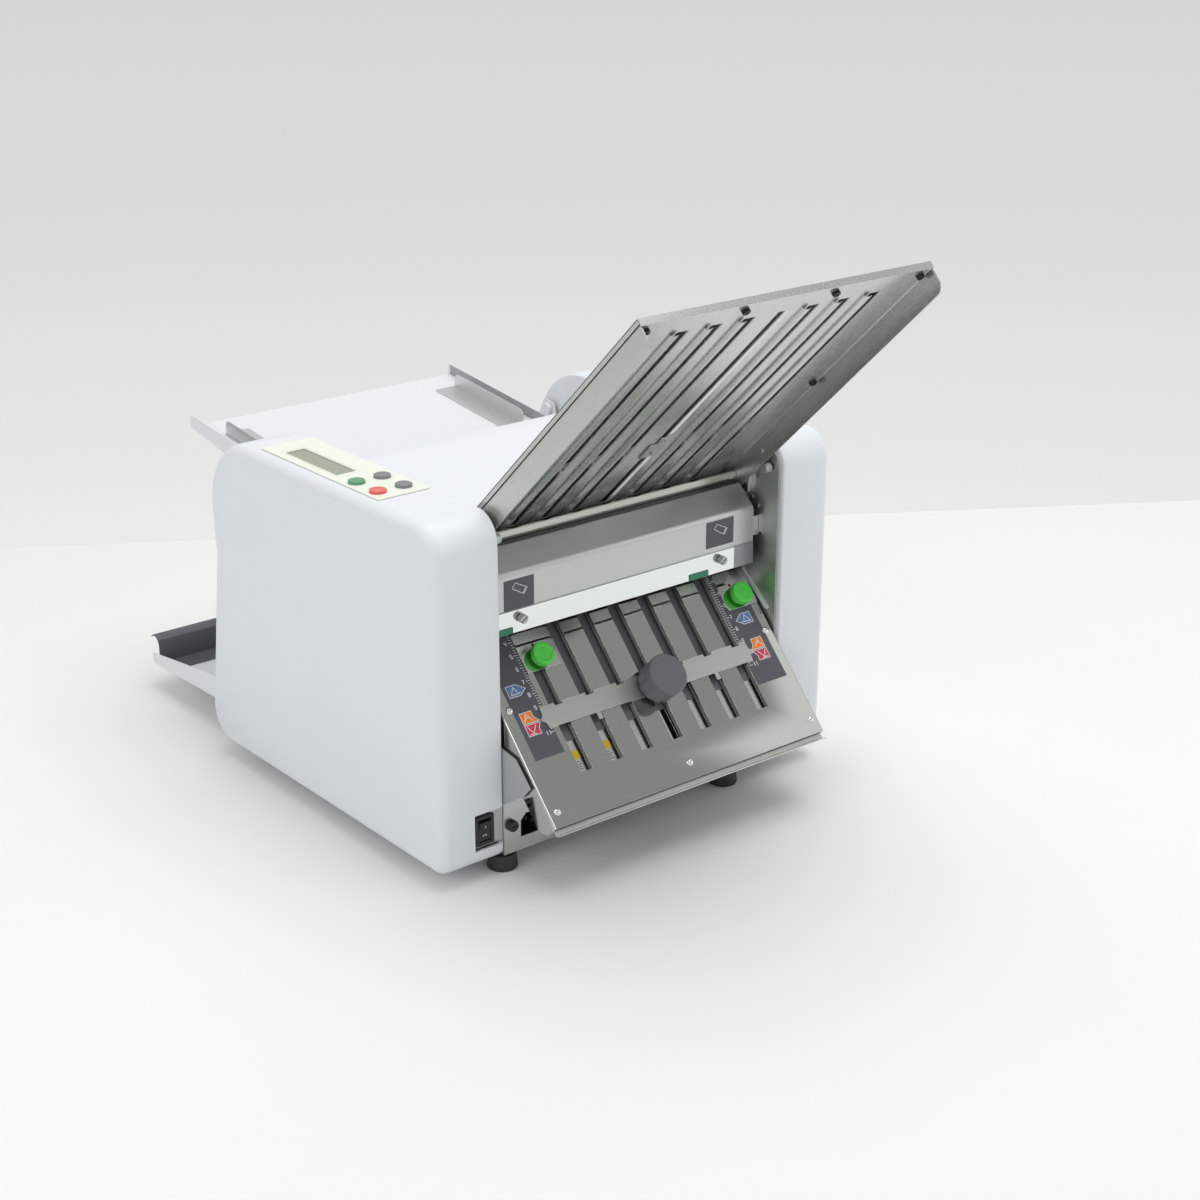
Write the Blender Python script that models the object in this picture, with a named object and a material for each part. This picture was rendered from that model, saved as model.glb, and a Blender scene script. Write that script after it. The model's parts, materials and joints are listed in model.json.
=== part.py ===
"""Desk paper folding machine: two moulded housings around a sheet-metal frame,
four fold rollers with their gear train, a feed roller, two buckle fold plates with
sliding paper stops, a tilting feed table and a delivery tray.

Metres, +Z up. The fold plates face -Y and the operator's housing is on -X.
Work frame: x = 0 midway between the side frames, y = 0 at the front of the
housings and z = 0 at their lower edge. The last step moves the whole machine so
that its origin is the middle of its footprint on the floor.
"""
from math import atan2, cos, hypot, pi, radians, sin, tan

import bmesh
import bpy
from mathutils import Matrix, Vector

# Gaps and sheet thicknesses shared by many pieces
SEAT_GAP = 0.0003
PAPER_GAP = 0.0006
OVERRUN = 0.004
SHEET = 0.0012
FRAME_SHEET = 0.002

# Housings
GAP_HALF = 0.1715
LEFT_COVER_WIDTH = 0.0716
RIGHT_COVER_WIDTH = 0.0658
COVER_HEIGHT = 0.339
COVER_FOOT_DEPTH = 0.424
COVER_WAIST_DEPTH = 0.391
COVER_WAIST_HEIGHT = 0.208
COVER_SHOULDER_DEPTH = 0.397
COVER_WALL = 0.003
COVER_EDGE_RADIUS = 0.012
COVER_RIM_RADIUS = 0.0025
COVER_FRONT_FOOT_RADIUS = 0.014
COVER_REAR_FOOT_RADIUS = 0.035
COVER_WAIST_RADIUS = 0.03
COVER_REAR_TOP_RADIUS = 0.076
COVER_FRONT_TOP_RADIUS = 0.028
COVER_OPENING_MARGIN = 0.02
COVER_OPENING_TOP_MARGIN = 0.033
COVER_OPENING_FOOT_MARGIN = 0.049
COVER_OPENING_REAR_MARGIN = 0.035375
COVER_OPENING_MID_HEIGHT = 0.13
COVER_OPENING_REAR_TOP = 0.262
COVER_OPENING_RADIUS = 0.008
CREASE_DEPTH = 0.0014
CREASE_FOOT = 0.168
CREASE_SAG = 0.03

# Side frames
FRAME_FRONT = 0.005
FRAME_FOOT = 0.002
FRAME_MARGIN = 0.006
FRAME_FOOT_MARGIN = 0.038
FRAME_REAR_MARGIN = 0.02274
FRAME_MID_HEIGHT = 0.134
FRAME_REAR_TOP = 0.270
FRAME_SHOULDER_DROP = 0.021
FRAME_EAR_DEPTH = 0.036
FRAME_SMALL_RADIUS = 0.003
FRAME_EAR_RADIUS = 0.022
FRAME_REAR_RADIUS = 0.010

# Base and feet
BASE_FRONT = 0.004
BASE_REAR_MARGIN = 0.028
BASE_REAR = COVER_FOOT_DEPTH - BASE_REAR_MARGIN
BASE_PLANE = 0.0015
BASE_FRONT_LIP = 0.055
BASE_REAR_LIP = 0.0186
FOOT_RADIUS = 0.0147
FOOT_HEIGHT = 0.0172
FOOT_EDGE = 0.0018
FOOT_BOSS_RADIUS = 0.008
FOOT_BOSS_HEIGHT = 0.001
FOOT_REAR_MARGIN = 0.026
REAR_FOOT_DEPTH = BASE_REAR - FOOT_REAR_MARGIN
FOOT_PLACES = ((-0.165, 0.015), (0.118, 0.018), (-0.150, REAR_FOOT_DEPTH), (0.150, REAR_FOOT_DEPTH))

# Rollers, bearings and drive
ROLLER_PITCH_RADIUS = 0.020
ROLLER_HALF_LENGTH = 0.165
SHAFT_RADIUS = 0.005
BEARING_RADIUS = 0.009
SHAFT_GAP = 0.0006
BEARING_HALF_LENGTH = 0.003
FEED_ROLLER_DEPTH = 0.215
FEED_ROLLER_RADIUS = 0.022
FEED_ROLLER_CLEARANCE = 0.0052
FEED_TYRE_HALF_LENGTH = 0.014
FEED_TYRE_OFFSET = 0.045
FEED_CORE_RADIUS = 0.009
EXIT_ROLLER_MARGIN = 0.079
EXIT_ROLLER_DEPTH = COVER_FOOT_DEPTH - EXIT_ROLLER_MARGIN
EXIT_ROLLER_HEIGHT = 0.078
EXIT_ROLLER_RADIUS = 0.014
FOURTH_ROLLER_LEAN = radians(14)
GEAR_TEETH = 20
DRIVE_GEAR_TEETH = 44
PINION_TEETH = 12
GEAR_MODULE = 0.002
GEAR_WIDTH = 0.008
GEAR_PLANE = 0.179
DRIVE_GEAR_PLANE = 0.190
GEAR_BORE_GAP = 0.0003
GEAR_HUB_RADIUS = 0.012
TOOTH_TIP_SHARE = 0.26
HALF_TURN_SHARE = 0.5
TOOTH_ROOT_SHARE = 0.64
ADDENDUM_SHARE = 0.8
DEDENDUM_SHARE = 1.1
PULLEY_RADIUS = 0.012
PULLEY_WIDTH = 0.009
PULLEY_PLANE = -0.186
PULLEY_FLANGE = 0.0025
PULLEY_FLANGE_WIDTH = 0.001
BELT_WIDTH = 0.0075
BELT_THICKNESS = 0.0015
MOTOR_RADIUS = 0.032
MOTOR_LENGTH = 0.095
MOTOR_BOSS_RADIUS = 0.008
MOTOR_SHAFT_RADIUS = 0.003
MOTOR_CAP_RADIUS = 0.020
MOTOR_CAP_LENGTH = 0.008
MOTOR_CHAMFER = 0.003

# Inner sheet-metal guides
FEED_BED_FRONT = 0.138
FEED_BED_REAR_MARGIN = 0.081
FEED_BED_REAR = COVER_FOOT_DEPTH - FEED_BED_REAR_MARGIN
FEED_BED_FRONT_HEIGHT = 0.258
FEED_BED_REAR_HEIGHT = 0.2655
FEED_BED_LIP = 0.012
FEED_BED_SLOPE = (FEED_BED_REAR_HEIGHT - FEED_BED_FRONT_HEIGHT) / (FEED_BED_REAR - FEED_BED_FRONT)
CHUTE_FRONT = 0.135
CHUTE_FRONT_HEIGHT = 0.186
CHUTE_REAR_MARGIN = 0.039
CHUTE_REAR = COVER_FOOT_DEPTH - CHUTE_REAR_MARGIN
CHUTE_REAR_HEIGHT = 0.034
CHUTE_MOUTH = 0.012
REAR_COVER_MARGIN = 0.048
REAR_COVER_DEPTH = COVER_FOOT_DEPTH - REAR_COVER_MARGIN
REAR_COVER_FOOT = 0.110
REAR_COVER_TOP = 0.246
REAR_COVER_LEAN = 0.004
REAR_COVER_LIP = 0.012
REAR_COVER_SHEET = 0.0025

# Top cover
TOP_COVER_FRONT = 0.056
TOP_COVER_REAR = 0.246
TOP_COVER_DROP = 0.008
TOP_COVER_HEIGHT = COVER_HEIGHT - TOP_COVER_DROP
TOP_COVER_CROWN = 0.002
TOP_COVER_SHEET = 0.003
TOP_COVER_LIP = 0.007
TOP_COVER_SLOPE = 0.020

# Front roller cover, its tie bar and its strip
FRONT_COVER_HALF = 0.163
FRONT_COVER_FACE = 0.030
FRONT_COVER_SHEET = 0.0015
FRONT_COVER_FOOT = 0.209
FRONT_COVER_BEND = 0.266
FRONT_COVER_TOP_DEPTH = 0.052
FRONT_COVER_TOP = 0.286
FRONT_COVER_RETURN = 0.013
FRONT_COVER_TAB_FOOT = 0.236
FRONT_COVER_TAB_TOP = 0.256
STRIP_HALF = 0.162
STRIP_FOOT = 0.2085
STRIP_TOP = 0.2305
STRIP_SHEET = 0.001
LEFT_THUMB_SCREW = -0.129
RIGHT_THUMB_SCREW = 0.118
THUMB_SCREW_HEIGHT = 0.222
THUMB_SCREW_RADIUS = 0.0045
THUMB_SCREW_HEAD = 0.006
THUMB_SCREW_SHANK = 0.0022
THUMB_SCREW_LENGTH = 0.008
HEAD_EDGE_SHARE = 0.8

# Control panel
PANEL_FRONT = 0.098
PANEL_REAR = 0.302
PANEL_OUTER = -0.2345
PANEL_INNER = -0.177
PANEL_CORNER = 0.003
PANEL_SHEET = 0.0008
DISPLAY_CENTRE_X = -0.2134
DISPLAY_CENTRE_Y = 0.2275
DISPLAY_WIDTH = 0.018
DISPLAY_LENGTH = 0.087
DISPLAY_SHEET = 0.0010
BUTTON_OUTER_COLUMN = -0.2219
BUTTON_INNER_COLUMN = -0.1939
BUTTON_FRONT_ROW = 0.117
BUTTON_REAR_ROW = 0.152
BUTTON_RADIUS = 0.008
BUTTON_PROUD = 0.003
BUTTON_FLANGE = 0.0015
BUTTON_FLANGE_HEIGHT = 0.002

# Power entry
SWITCH_CENTRE_X = -0.194
SWITCH_CENTRE_Z = 0.035
SWITCH_WIDTH = 0.021
SWITCH_HEIGHT = 0.030
SWITCH_BEZEL = 0.002
SWITCH_DEPTH = 0.022
SWITCH_WALL = 0.0035
SWITCH_FRONT = 0.0017
ROCKER_HALF = 0.0100
ROCKER_PROUD = 0.0045
ROCKER_DISH = 0.0013
ROCKER_DEPTH = 0.0050
ROCKER_AXIS_DEPTH = 0.005
ROCKER_TILT = radians(8)
ROCKER_SLOPE_SHARE = 0.85
WINDOW_HALF_HEIGHT = 0.0187
WINDOW_MARGIN = 0.002
SWITCH_TAB_GAP = 0.0005
INLET_CENTRE_X = -0.1415
INLET_CENTRE_Z = 0.0255
INLET_WIDTH = 0.027
INLET_HEIGHT = 0.030
INLET_DEPTH = 0.024
INLET_SOCKET_DEPTH = 0.016
INLET_WALL = 0.0035
INLET_CHAMFER = 0.006
INLET_PIN_WIDTH = 0.002
INLET_PIN_HEIGHT = 0.004
INLET_PIN_SPACING = 0.007
INLET_PIN_DROP = 0.004
FUSE_CENTRE_X = -0.163
FUSE_CENTRE_Z = 0.030
FUSE_RADIUS = 0.0055
FUSE_HEAD = 0.005
FUSE_BODY_RADIUS = 0.0045
FUSE_BODY_LENGTH = 0.016

# Fold plate slots
SLOT_PITCH = 0.0371

# Upper fold plate: v runs up the plate, w out of its underside towards the front
UPPER_ANGLE = radians(136)
UPPER_LOW_Y = 0.071
UPPER_LOW_Z = 0.297
UPPER_HALF = 0.1675
UPPER_START = -0.012
UPPER_END = 0.3535
UPPER_FLANGE = 0.023
UPPER_FLANGE_RADIUS = 0.010
UPPER_GAP = 0.0032
UPPER_LIP = 0.0015
UPPER_CENTRE_X = 0.006
UPPER_SLOT_WIDTH = 0.014
UPPER_SLOT_START = -0.007
UPPER_SLOT_END = 0.327
UPPER_SLIT_WIDTH = 0.0040
LOUVRE_WIDTH = 0.0095
LOUVRE_HEIGHT = 0.0038
LOUVRE_SHEET = 0.0009
LOUVRE_SHIFT_SHARE = 0.55
BOLT_ROW = 0.343
BOLT_PLACES = ((-0.156, BOLT_ROW), (-0.048, BOLT_ROW), (0.056, BOLT_ROW), (0.160, BOLT_ROW),
               (-0.160, 0.166), (0.160, 0.166))
BOLT_HEAD_RADIUS = 0.0038
BOLT_HEAD_HEIGHT = 0.003
BOLT_SHANK_RADIUS = 0.0016
NUT_HEIGHT_SHARE = 0.7
STUD_RADIUS = 0.005
STUD_DEPTH = UPPER_FLANGE + STUD_RADIUS + SEAT_GAP
UPPER_BAR_FOOT = 0.086
UPPER_BAR_TOP = 0.106
UPPER_BAR_HALF = 0.150
UPPER_BAR_SHEET = 0.0016
UPPER_TOOTH_WIDTH = 0.0045
UPPER_TOOTH_LENGTH = 0.007
UPPER_TOOTH_PROUD = 0.0016
CLAMP_WIDTH = 0.021
CLAMP_FOOT = 0.084
CLAMP_TOP = 0.118
CLAMP_SHEET = 0.0015
CLAMP_SCREW_RADIUS = 0.0035
CLAMP_SCREW_HEIGHT = 0.003
KNOB_RADIUS = 0.020
KNOB_HEIGHT = 0.025
KNOB_NECK_RADIUS = 0.009
KNOB_NECK_HEIGHT = 0.0015
KNOB_STUD_RADIUS = 0.0024
KNOB_LOBES = 10
KNOB_LOBE_DEPTH = 0.0011
KNOB_EDGE = 0.0016
KNOB_LOBE_SHARES = (0.0, 0.30, 0.50, 0.80)

# Lower fold plate: v runs up the plate towards the rollers, w out of its upper face
LOWER_ANGLE = radians(47)
LOWER_FOOT_Y = -0.0735
LOWER_FOOT_Z = 0.058
LOWER_HALF = 0.1695
LOWER_LENGTH = 0.200
LOWER_FLANGE = 0.027
LOWER_FLANGE_TAPER = 0.010
LOWER_GAP = 0.0045
LOWER_CENTRE_X = 0.003
LOWER_SLOT_WIDTH = 0.0095
LOWER_SLOT_START = 0.042
LOWER_SLOT_END = 0.192
LOWER_LIP = 0.006
LOWER_SCREW_PLACES = ((-0.160, 0.0146), (0.0006, 0.016), (0.160, 0.015), (0.160, 0.116),
                      (-0.160, 0.118))
LOWER_SCREW_RADIUS = 0.0036
LOWER_SCREW_HEAD = 0.0015
LOWER_SCREW_SHANK = 0.0014
SCALE_ROOM = 0.0006
LOWER_BAR_FOOT = 0.090
LOWER_BAR_TOP = 0.112
LOWER_BAR_HALF = 0.125
LOWER_BAR_POINT = 0.006
LOWER_BAR_POINT_WIDTH = 0.007
LOWER_BAR_NOTCH = 0.003
LOWER_BAR_HOOK = 0.007
LOWER_BAR_SHEET = 0.0016
LOWER_TONGUE_WIDTH = 0.005
LOWER_KNOB_ALONG = 0.098
GREEN_KNOB_RADIUS = 0.011
GREEN_KNOB_HEIGHT = 0.010
GREEN_KNOB_RING = 0.0075
GREEN_KNOB_DISH = 0.0006
GREEN_KNOB_STUD = 0.0022
GREEN_KNOB_RIM_SHARE = 0.9
GREEN_KNOB_EDGE_SHARE = 0.15
LEFT_BRACKET = -0.1045
RIGHT_BRACKET = 0.1475
BRACKET_ALONG = 0.166
BRACKET_WIDTH = 0.040
BRACKET_LENGTH = 0.040
BRACKET_SHEET = 0.0012
BRACKET_SLOT = 0.012
BRACKET_CORNER = 0.002
GREEN_KNOB_ALONG = 0.158

# Studs on the side frames: place along a plate, depth from its face, and how it carries it
PLATE_STUDS = ((0.048, STUD_DEPTH, "under"), (-0.005, STUD_DEPTH, "under"),
               (0.124, -0.0135, "beside"), (0.180, -0.0135, "beside"))

# Feed table, its guides and its pivot
TABLE_PIVOT_MARGIN = 0.02585
TABLE_PIVOT_Z = 0.292
TABLE_RISE = radians(6.8)
TABLE_HALF = 0.170
TABLE_START = -0.020
TABLE_END = 0.191
TABLE_WALL_TOP = -0.0105
TABLE_FLOOR = -0.0240
TABLE_WALL_FOOT = -0.0360
TABLE_TIP_RADIUS = 0.004
TABLE_EAR_HALF = 0.016
TABLE_EAR_RADIUS = 0.009
PIVOT_PIN_RADIUS = 0.0035
PIVOT_BUSH_RADIUS = 0.0065
PIVOT_BUSH_LENGTH = 0.004
GUIDE_PLACE = 0.1505
GUIDE_START = 0.020
GUIDE_END = 0.150
GUIDE_HEIGHT = 0.016
GUIDE_BASE = 0.028
GUIDE_CORNER = 0.002

# Delivery tray and its stop
TRAY_HALF = 0.2155
TRAY_COVER_GAP = 0.006
TRAY_LENGTH = 0.173
TRAY_TONGUE_LAP = 0.0165
TRAY_FRONT = COVER_FOOT_DEPTH + TRAY_COVER_GAP
TRAY_REAR = TRAY_FRONT + TRAY_LENGTH
TRAY_TONGUE_FRONT = BASE_REAR - TRAY_TONGUE_LAP
TRAY_TONGUE_HALF = 0.166
TRAY_FLOOR_FRONT = 0.0180
TRAY_FLOOR_REAR = 0.0130
TRAY_WALL_FRONT = 0.0475
TRAY_WALL_REAR = 0.0250
STOP_HALF = 0.2125
STOP_MARGIN = 0.011
STOP_PLACE = TRAY_REAR - STOP_MARGIN
STOP_FOOT_LENGTH = 0.030
STOP_RISE = 0.020
STOP_CURL_RADIUS = 0.010
STOP_CURL_SHARE = 0.75

ROUND_STEPS = 4
ROLLER_SIDES = 12
BORE_SIDES = 10


def clear_scene():
    for old in list(bpy.data.objects):
        bpy.data.objects.remove(old)


clear_scene()
MACHINE = bpy.data.objects.new("machine_origin", None)
bpy.context.scene.collection.objects.link(MACHINE)
MATERIALS = {}


def material(name, colour, roughness, metallic=0.0):
    made = bpy.data.materials.new(name)
    made.use_nodes = True
    shader = made.node_tree.nodes["Principled BSDF"]
    shader.inputs["Base Color"].default_value = (*colour, 1.0)
    shader.inputs["Roughness"].default_value = roughness
    shader.inputs["Metallic"].default_value = metallic
    MATERIALS[name] = made


material("white_plastic", (0.78, 0.80, 0.82), 0.42)
material("brushed_steel", (0.60, 0.61, 0.59), 0.34, 1.0)
material("frame_steel", (0.52, 0.54, 0.54), 0.45, 1.0)
material("polished_strip", (0.82, 0.85, 0.84), 0.22, 1.0)
material("black_plastic", (0.03, 0.03, 0.035), 0.45)
material("knob_grey", (0.13, 0.135, 0.145), 0.5)
material("dark_sheet", (0.16, 0.165, 0.175), 0.45)
material("bright_green", (0.10, 0.62, 0.13), 0.35)
material("panel_cream", (0.74, 0.77, 0.68), 0.45)
material("display_olive", (0.23, 0.25, 0.19), 0.3)
material("button_green", (0.03, 0.28, 0.13), 0.4)
material("button_red", (0.72, 0.08, 0.04), 0.4)
material("button_grey", (0.10, 0.11, 0.13), 0.4)
material("rubber", (0.025, 0.025, 0.025), 0.8)
material("roller_rubber", (0.10, 0.10, 0.11), 0.7)
material("gear_plastic", (0.72, 0.72, 0.66), 0.5)
material("motor_steel", (0.35, 0.36, 0.37), 0.4, 1.0)
material("zinc", (0.70, 0.71, 0.70), 0.3, 1.0)


# Frames that pieces are built in: local x, y and z become these directions

SIDEWAYS = Matrix(((0, 0, 1, 0), (1, 0, 0, 0), (0, 1, 0, 0), (0, 0, 0, 1)))


def across(x):
    """Local x runs back, local y up and local z along +X, from the plane at x."""
    return Matrix.Translation((x, 0, 0)) @ SIDEWAYS


def facing(y):
    """Local x runs along +X, local y up and local z to the front, from the plane at y."""
    return Matrix.Translation((0, y, 0)) @ Matrix.Rotation(pi / 2, 4, "X")


def incline(y, z, angle):
    """Local x stays +X, and local y climbs at the angle from +Y."""
    return Matrix.Translation((0, y, z)) @ Matrix.Rotation(angle, 4, "X")


def axle(x, y, z):
    """Local z runs along +X, for turned pieces on a shaft."""
    return Matrix.Translation((x, y, z)) @ Matrix.Rotation(pi / 2, 4, "Y")


UPPER = incline(UPPER_LOW_Y, UPPER_LOW_Z, UPPER_ANGLE)
LOWER = incline(LOWER_FOOT_Y, LOWER_FOOT_Z, LOWER_ANGLE)


def cover_rear(height):
    """Depth of the housings' rear edge at a height, before its corners are rounded."""
    if height < COVER_WAIST_HEIGHT:
        share = height / COVER_WAIST_HEIGHT
        return COVER_FOOT_DEPTH + (COVER_WAIST_DEPTH - COVER_FOOT_DEPTH) * share
    share = (height - COVER_WAIST_HEIGHT) / (COVER_HEIGHT - COVER_WAIST_HEIGHT)
    return COVER_WAIST_DEPTH + (COVER_SHOULDER_DEPTH - COVER_WAIST_DEPTH) * share


TABLE_PIVOT_Y = cover_rear(TABLE_PIVOT_Z) - TABLE_PIVOT_MARGIN
TABLE = incline(TABLE_PIVOT_Y, TABLE_PIVOT_Z, TABLE_RISE)


# Outlines

def rounded(corners, inset=0.0, steps=ROUND_STEPS):
    """Outline through counter-clockwise corners (u, v, radius), moved in by the inset."""
    points = [Vector((u, v)) for u, v, _ in corners]
    count = len(points)
    outline = []
    for index, (_, _, radius) in enumerate(corners):
        here = points[index]
        back = (points[index - 1] - here).normalized()
        ahead = (points[(index + 1) % count] - here).normalized()
        side = 1 if (-back).cross(ahead) > 0 else -1
        half = back.angle(ahead) / 2
        middle = (back + ahead).normalized()
        corner = here + middle * (side * inset / sin(half))
        if radius == 0:
            outline.append(tuple(corner))
            continue
        bend = radius - side * inset
        centre = corner + middle * (bend / sin(half))
        first = corner + back * (bend / tan(half)) - centre
        sweep = side * (pi - 2 * half)
        for step in range(steps + 1):
            turn = Matrix.Rotation(sweep * step / steps, 2)
            outline.append(tuple(centre + turn @ first))
    return outline


def rectangle(left, right, low, high, radius=0.0, steps=3):
    corners = ((left, low, radius), (right, low, radius), (right, high, radius), (left, high, radius))
    return rounded(corners, steps=steps)


def circle(u, v, radius, sides=12, phase=0.0):
    turns = [phase + 2 * pi * k / sides for k in range(sides)]
    return [(u + radius * cos(t), v + radius * sin(t)) for t in turns]


def stadium(start, end, radius, steps=10):
    """Outline of two half circles round two centres, joined by straight runs."""
    heading = atan2(end[1] - start[1], end[0] - start[0])
    outline = []
    for centre, first in ((end, heading - pi / 2), (start, heading + pi / 2)):
        for step in range(steps + 1):
            turn = first + pi * step / steps
            outline.append((centre[0] + radius * cos(turn), centre[1] + radius * sin(turn)))
    return outline


def bent_sheet(path, thickness):
    """Outline of a sheet of one thickness that follows a bent path, with mitred bends."""
    points = [Vector(point) for point in path]
    left = []
    right = []
    for index, here in enumerate(points):
        before = (here - points[index - 1]).normalized() if index else None
        after = (points[index + 1] - here).normalized() if index + 1 < len(points) else None
        before = before or after
        after = after or before
        mean = (before + after).normalized()
        normal = Vector((-mean.y, mean.x))
        reach = thickness / 2 / mean.dot(after)
        left.append(tuple(here + normal * reach))
        right.append(tuple(here - normal * reach))
    return right + left[::-1]


def gear_outline(teeth, phase):
    """Straight-sided teeth, one centred on the phase angle."""
    pitch = 2 * pi / teeth
    radius = GEAR_MODULE * teeth / 2
    tip = radius + ADDENDUM_SHARE * GEAR_MODULE
    root = radius - DEDENDUM_SHARE * GEAR_MODULE
    outline = []
    for tooth in range(teeth):
        middle = phase + tooth * pitch
        for reach, share in ((root, -TOOTH_ROOT_SHARE), (tip, -TOOTH_TIP_SHARE),
                             (tip, TOOTH_TIP_SHARE), (root, TOOTH_ROOT_SHARE)):
            turn = middle + pitch * share / 2
            outline.append((reach * cos(turn), reach * sin(turn)))
    return outline


# Solids, each a bmesh in the local frame of its piece

def slab(outline, start, depth, holes=()):
    """An outline with holes, extruded along local z from start."""
    shape = bmesh.new()
    edges = []
    for loop in (outline, *holes):
        verts = [shape.verts.new((u, v, start)) for u, v in loop]
        edges += [shape.edges.new((verts[k - 1], verts[k])) for k in range(len(verts))]
    if holes:
        bmesh.ops.triangle_fill(shape, edges=edges, use_beauty=True, use_dissolve=False)
    else:
        shape.faces.new(shape.verts[:])
    grown = bmesh.ops.extrude_face_region(shape, geom=shape.faces[:])
    moved = [item for item in grown["geom"] if isinstance(item, bmesh.types.BMVert)]
    bmesh.ops.translate(shape, verts=moved, vec=(0, 0, depth))
    bmesh.ops.recalc_face_normals(shape, faces=shape.faces[:])
    return shape


def block(low, high):
    return slab(rectangle(low[0], high[0], low[1], high[1]), low[2], high[2] - low[2])


def turned(profile, sides, ring=False):
    """A profile (radius, height) turned round local z; a ring profile closes on itself."""
    shape = bmesh.new()
    rows = []
    for radius, height in profile:
        if radius == 0:
            rows.append([shape.verts.new((0, 0, height))])
        else:
            rows.append([shape.verts.new((u, v, height)) for u, v in circle(0, 0, radius, sides)])
    pairs = list(zip(rows, rows[1:]))
    if ring:
        pairs.append((rows[-1], rows[0]))
    for low, high in pairs:
        for k in range(sides):
            face = [low[k % len(low)], low[(k + 1) % sides % len(low)],
                    high[(k + 1) % sides % len(high)], high[k % len(high)]]
            shape.faces.new(list(dict.fromkeys(face)))
    bmesh.ops.recalc_face_normals(shape, faces=shape.faces[:])
    return shape


def loft(rings):
    """Closed skin through rings of 3-D points with equal counts, capped at both ends."""
    shape = bmesh.new()
    rows = [[shape.verts.new(point) for point in ring] for ring in rings]
    for low, high in zip(rows, rows[1:]):
        for k in range(len(low)):
            shape.faces.new((low[k - 1], low[k], high[k], high[k - 1]))
    shape.faces.new(rows[0])
    shape.faces.new(rows[-1])
    bmesh.ops.recalc_face_normals(shape, faces=shape.faces[:])
    return shape


def moved(shape, matrix):
    bmesh.ops.transform(shape, matrix=matrix, verts=shape.verts[:])
    if matrix.determinant() < 0:
        bmesh.ops.recalc_face_normals(shape, faces=shape.faces[:])
    return shape


def together(*shapes):
    """Several separate solids in one mesh."""
    whole = bmesh.new()
    for shape in shapes:
        carrier = bpy.data.meshes.new("carrier")
        shape.to_mesh(carrier)
        shape.free()
        whole.from_mesh(carrier)
        bpy.data.meshes.remove(carrier)
    return whole


# Objects

def add_object(name, shape, at):
    mesh = bpy.data.meshes.new(name)
    shape.to_mesh(mesh)
    shape.free()
    made = bpy.data.objects.new(name, mesh)
    bpy.context.scene.collection.objects.link(made)
    made.parent = MACHINE
    made.matrix_local = at
    return made


def piece(name, shape, at, material_name, smooth=True):
    """A finished sub-part in its own local frame."""
    made = add_object(name, shape, at)
    made.data.materials.append(MATERIALS[material_name])
    if smooth:
        made.data.shade_smooth()
        made.data.set_sharp_from_angle(angle=radians(35))
    return made


def boolean(target, shape, at, operation):
    """Cut a helper solid out of the target, or fuse it on."""
    helper = add_object(target.name + "_helper", shape, at)
    helper.hide_render = True
    helper.display_type = "WIRE"
    modifier = target.modifiers.new(operation.lower(), "BOOLEAN")
    modifier.operation = operation
    modifier.object = helper
    modifier.solver = "EXACT"


def cut(target, shape, at):
    boolean(target, shape, at, "DIFFERENCE")


def fuse(target, shape, at):
    boolean(target, shape, at, "UNION")


# Roller and gear centres

def roller_centres():
    """Roller 2 touches both plate lines; 1 and 3 lie across the plates; 4 is below 3."""
    down = Vector((-cos(UPPER_ANGLE), -sin(UPPER_ANGLE)))
    up = Vector((cos(LOWER_ANGLE), sin(LOWER_ANGLE)))
    start = Vector((LOWER_FOOT_Y, LOWER_FOOT_Z)) - Vector((UPPER_LOW_Y, UPPER_LOW_Z))
    along = (start.x * up.y - start.y * up.x) / (down.x * up.y - down.y * up.x)
    crossing = Vector((UPPER_LOW_Y, UPPER_LOW_Z)) + down * along
    half = (-down).angle(-up) / 2
    reach = ROLLER_PITCH_RADIUS / tan(half)
    first_nip = crossing - down * reach
    second_nip = crossing - up * reach
    rear_of_upper = Vector((-down.y, down.x))
    rear_of_lower = Vector((up.y, -up.x))
    one = first_nip + rear_of_upper * ROLLER_PITCH_RADIUS
    two = first_nip - rear_of_upper * ROLLER_PITCH_RADIUS
    three = second_nip + rear_of_lower * ROLLER_PITCH_RADIUS
    lean = Vector((-sin(FOURTH_ROLLER_LEAN), -cos(FOURTH_ROLLER_LEAN)))
    four = three + lean * (2 * ROLLER_PITCH_RADIUS)
    return one, two, three, four


FOLD_CENTRES = roller_centres()
FEED_BED_LEVEL = FEED_BED_FRONT_HEIGHT + FEED_BED_SLOPE * (FEED_ROLLER_DEPTH - FEED_BED_FRONT)
FEED_ROLLER_HEIGHT = FEED_BED_LEVEL + FEED_ROLLER_RADIUS + FEED_ROLLER_CLEARANCE
FEED_CENTRE = Vector((FEED_ROLLER_DEPTH, FEED_ROLLER_HEIGHT))
EXIT_CENTRE = Vector((EXIT_ROLLER_DEPTH, EXIT_ROLLER_HEIGHT))
MOTOR_DROP = GEAR_MODULE * (DRIVE_GEAR_TEETH + PINION_TEETH) / 2
MOTOR_CENTRE = FOLD_CENTRES[3] - Vector((0, MOTOR_DROP))
SHAFT_CENTRES = (*FOLD_CENTRES, FEED_CENTRE, EXIT_CENTRE)
COVER_INNER = GAP_HALF + FRAME_SHEET + SEAT_GAP


# Housings

def cover_corners():
    return ((0, 0, COVER_FRONT_FOOT_RADIUS),
            (COVER_FOOT_DEPTH, 0, COVER_REAR_FOOT_RADIUS),
            (COVER_WAIST_DEPTH, COVER_WAIST_HEIGHT, COVER_WAIST_RADIUS),
            (COVER_SHOULDER_DEPTH, COVER_HEIGHT, COVER_REAR_TOP_RADIUS),
            (0, COVER_HEIGHT, COVER_FRONT_TOP_RADIUS))


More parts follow.
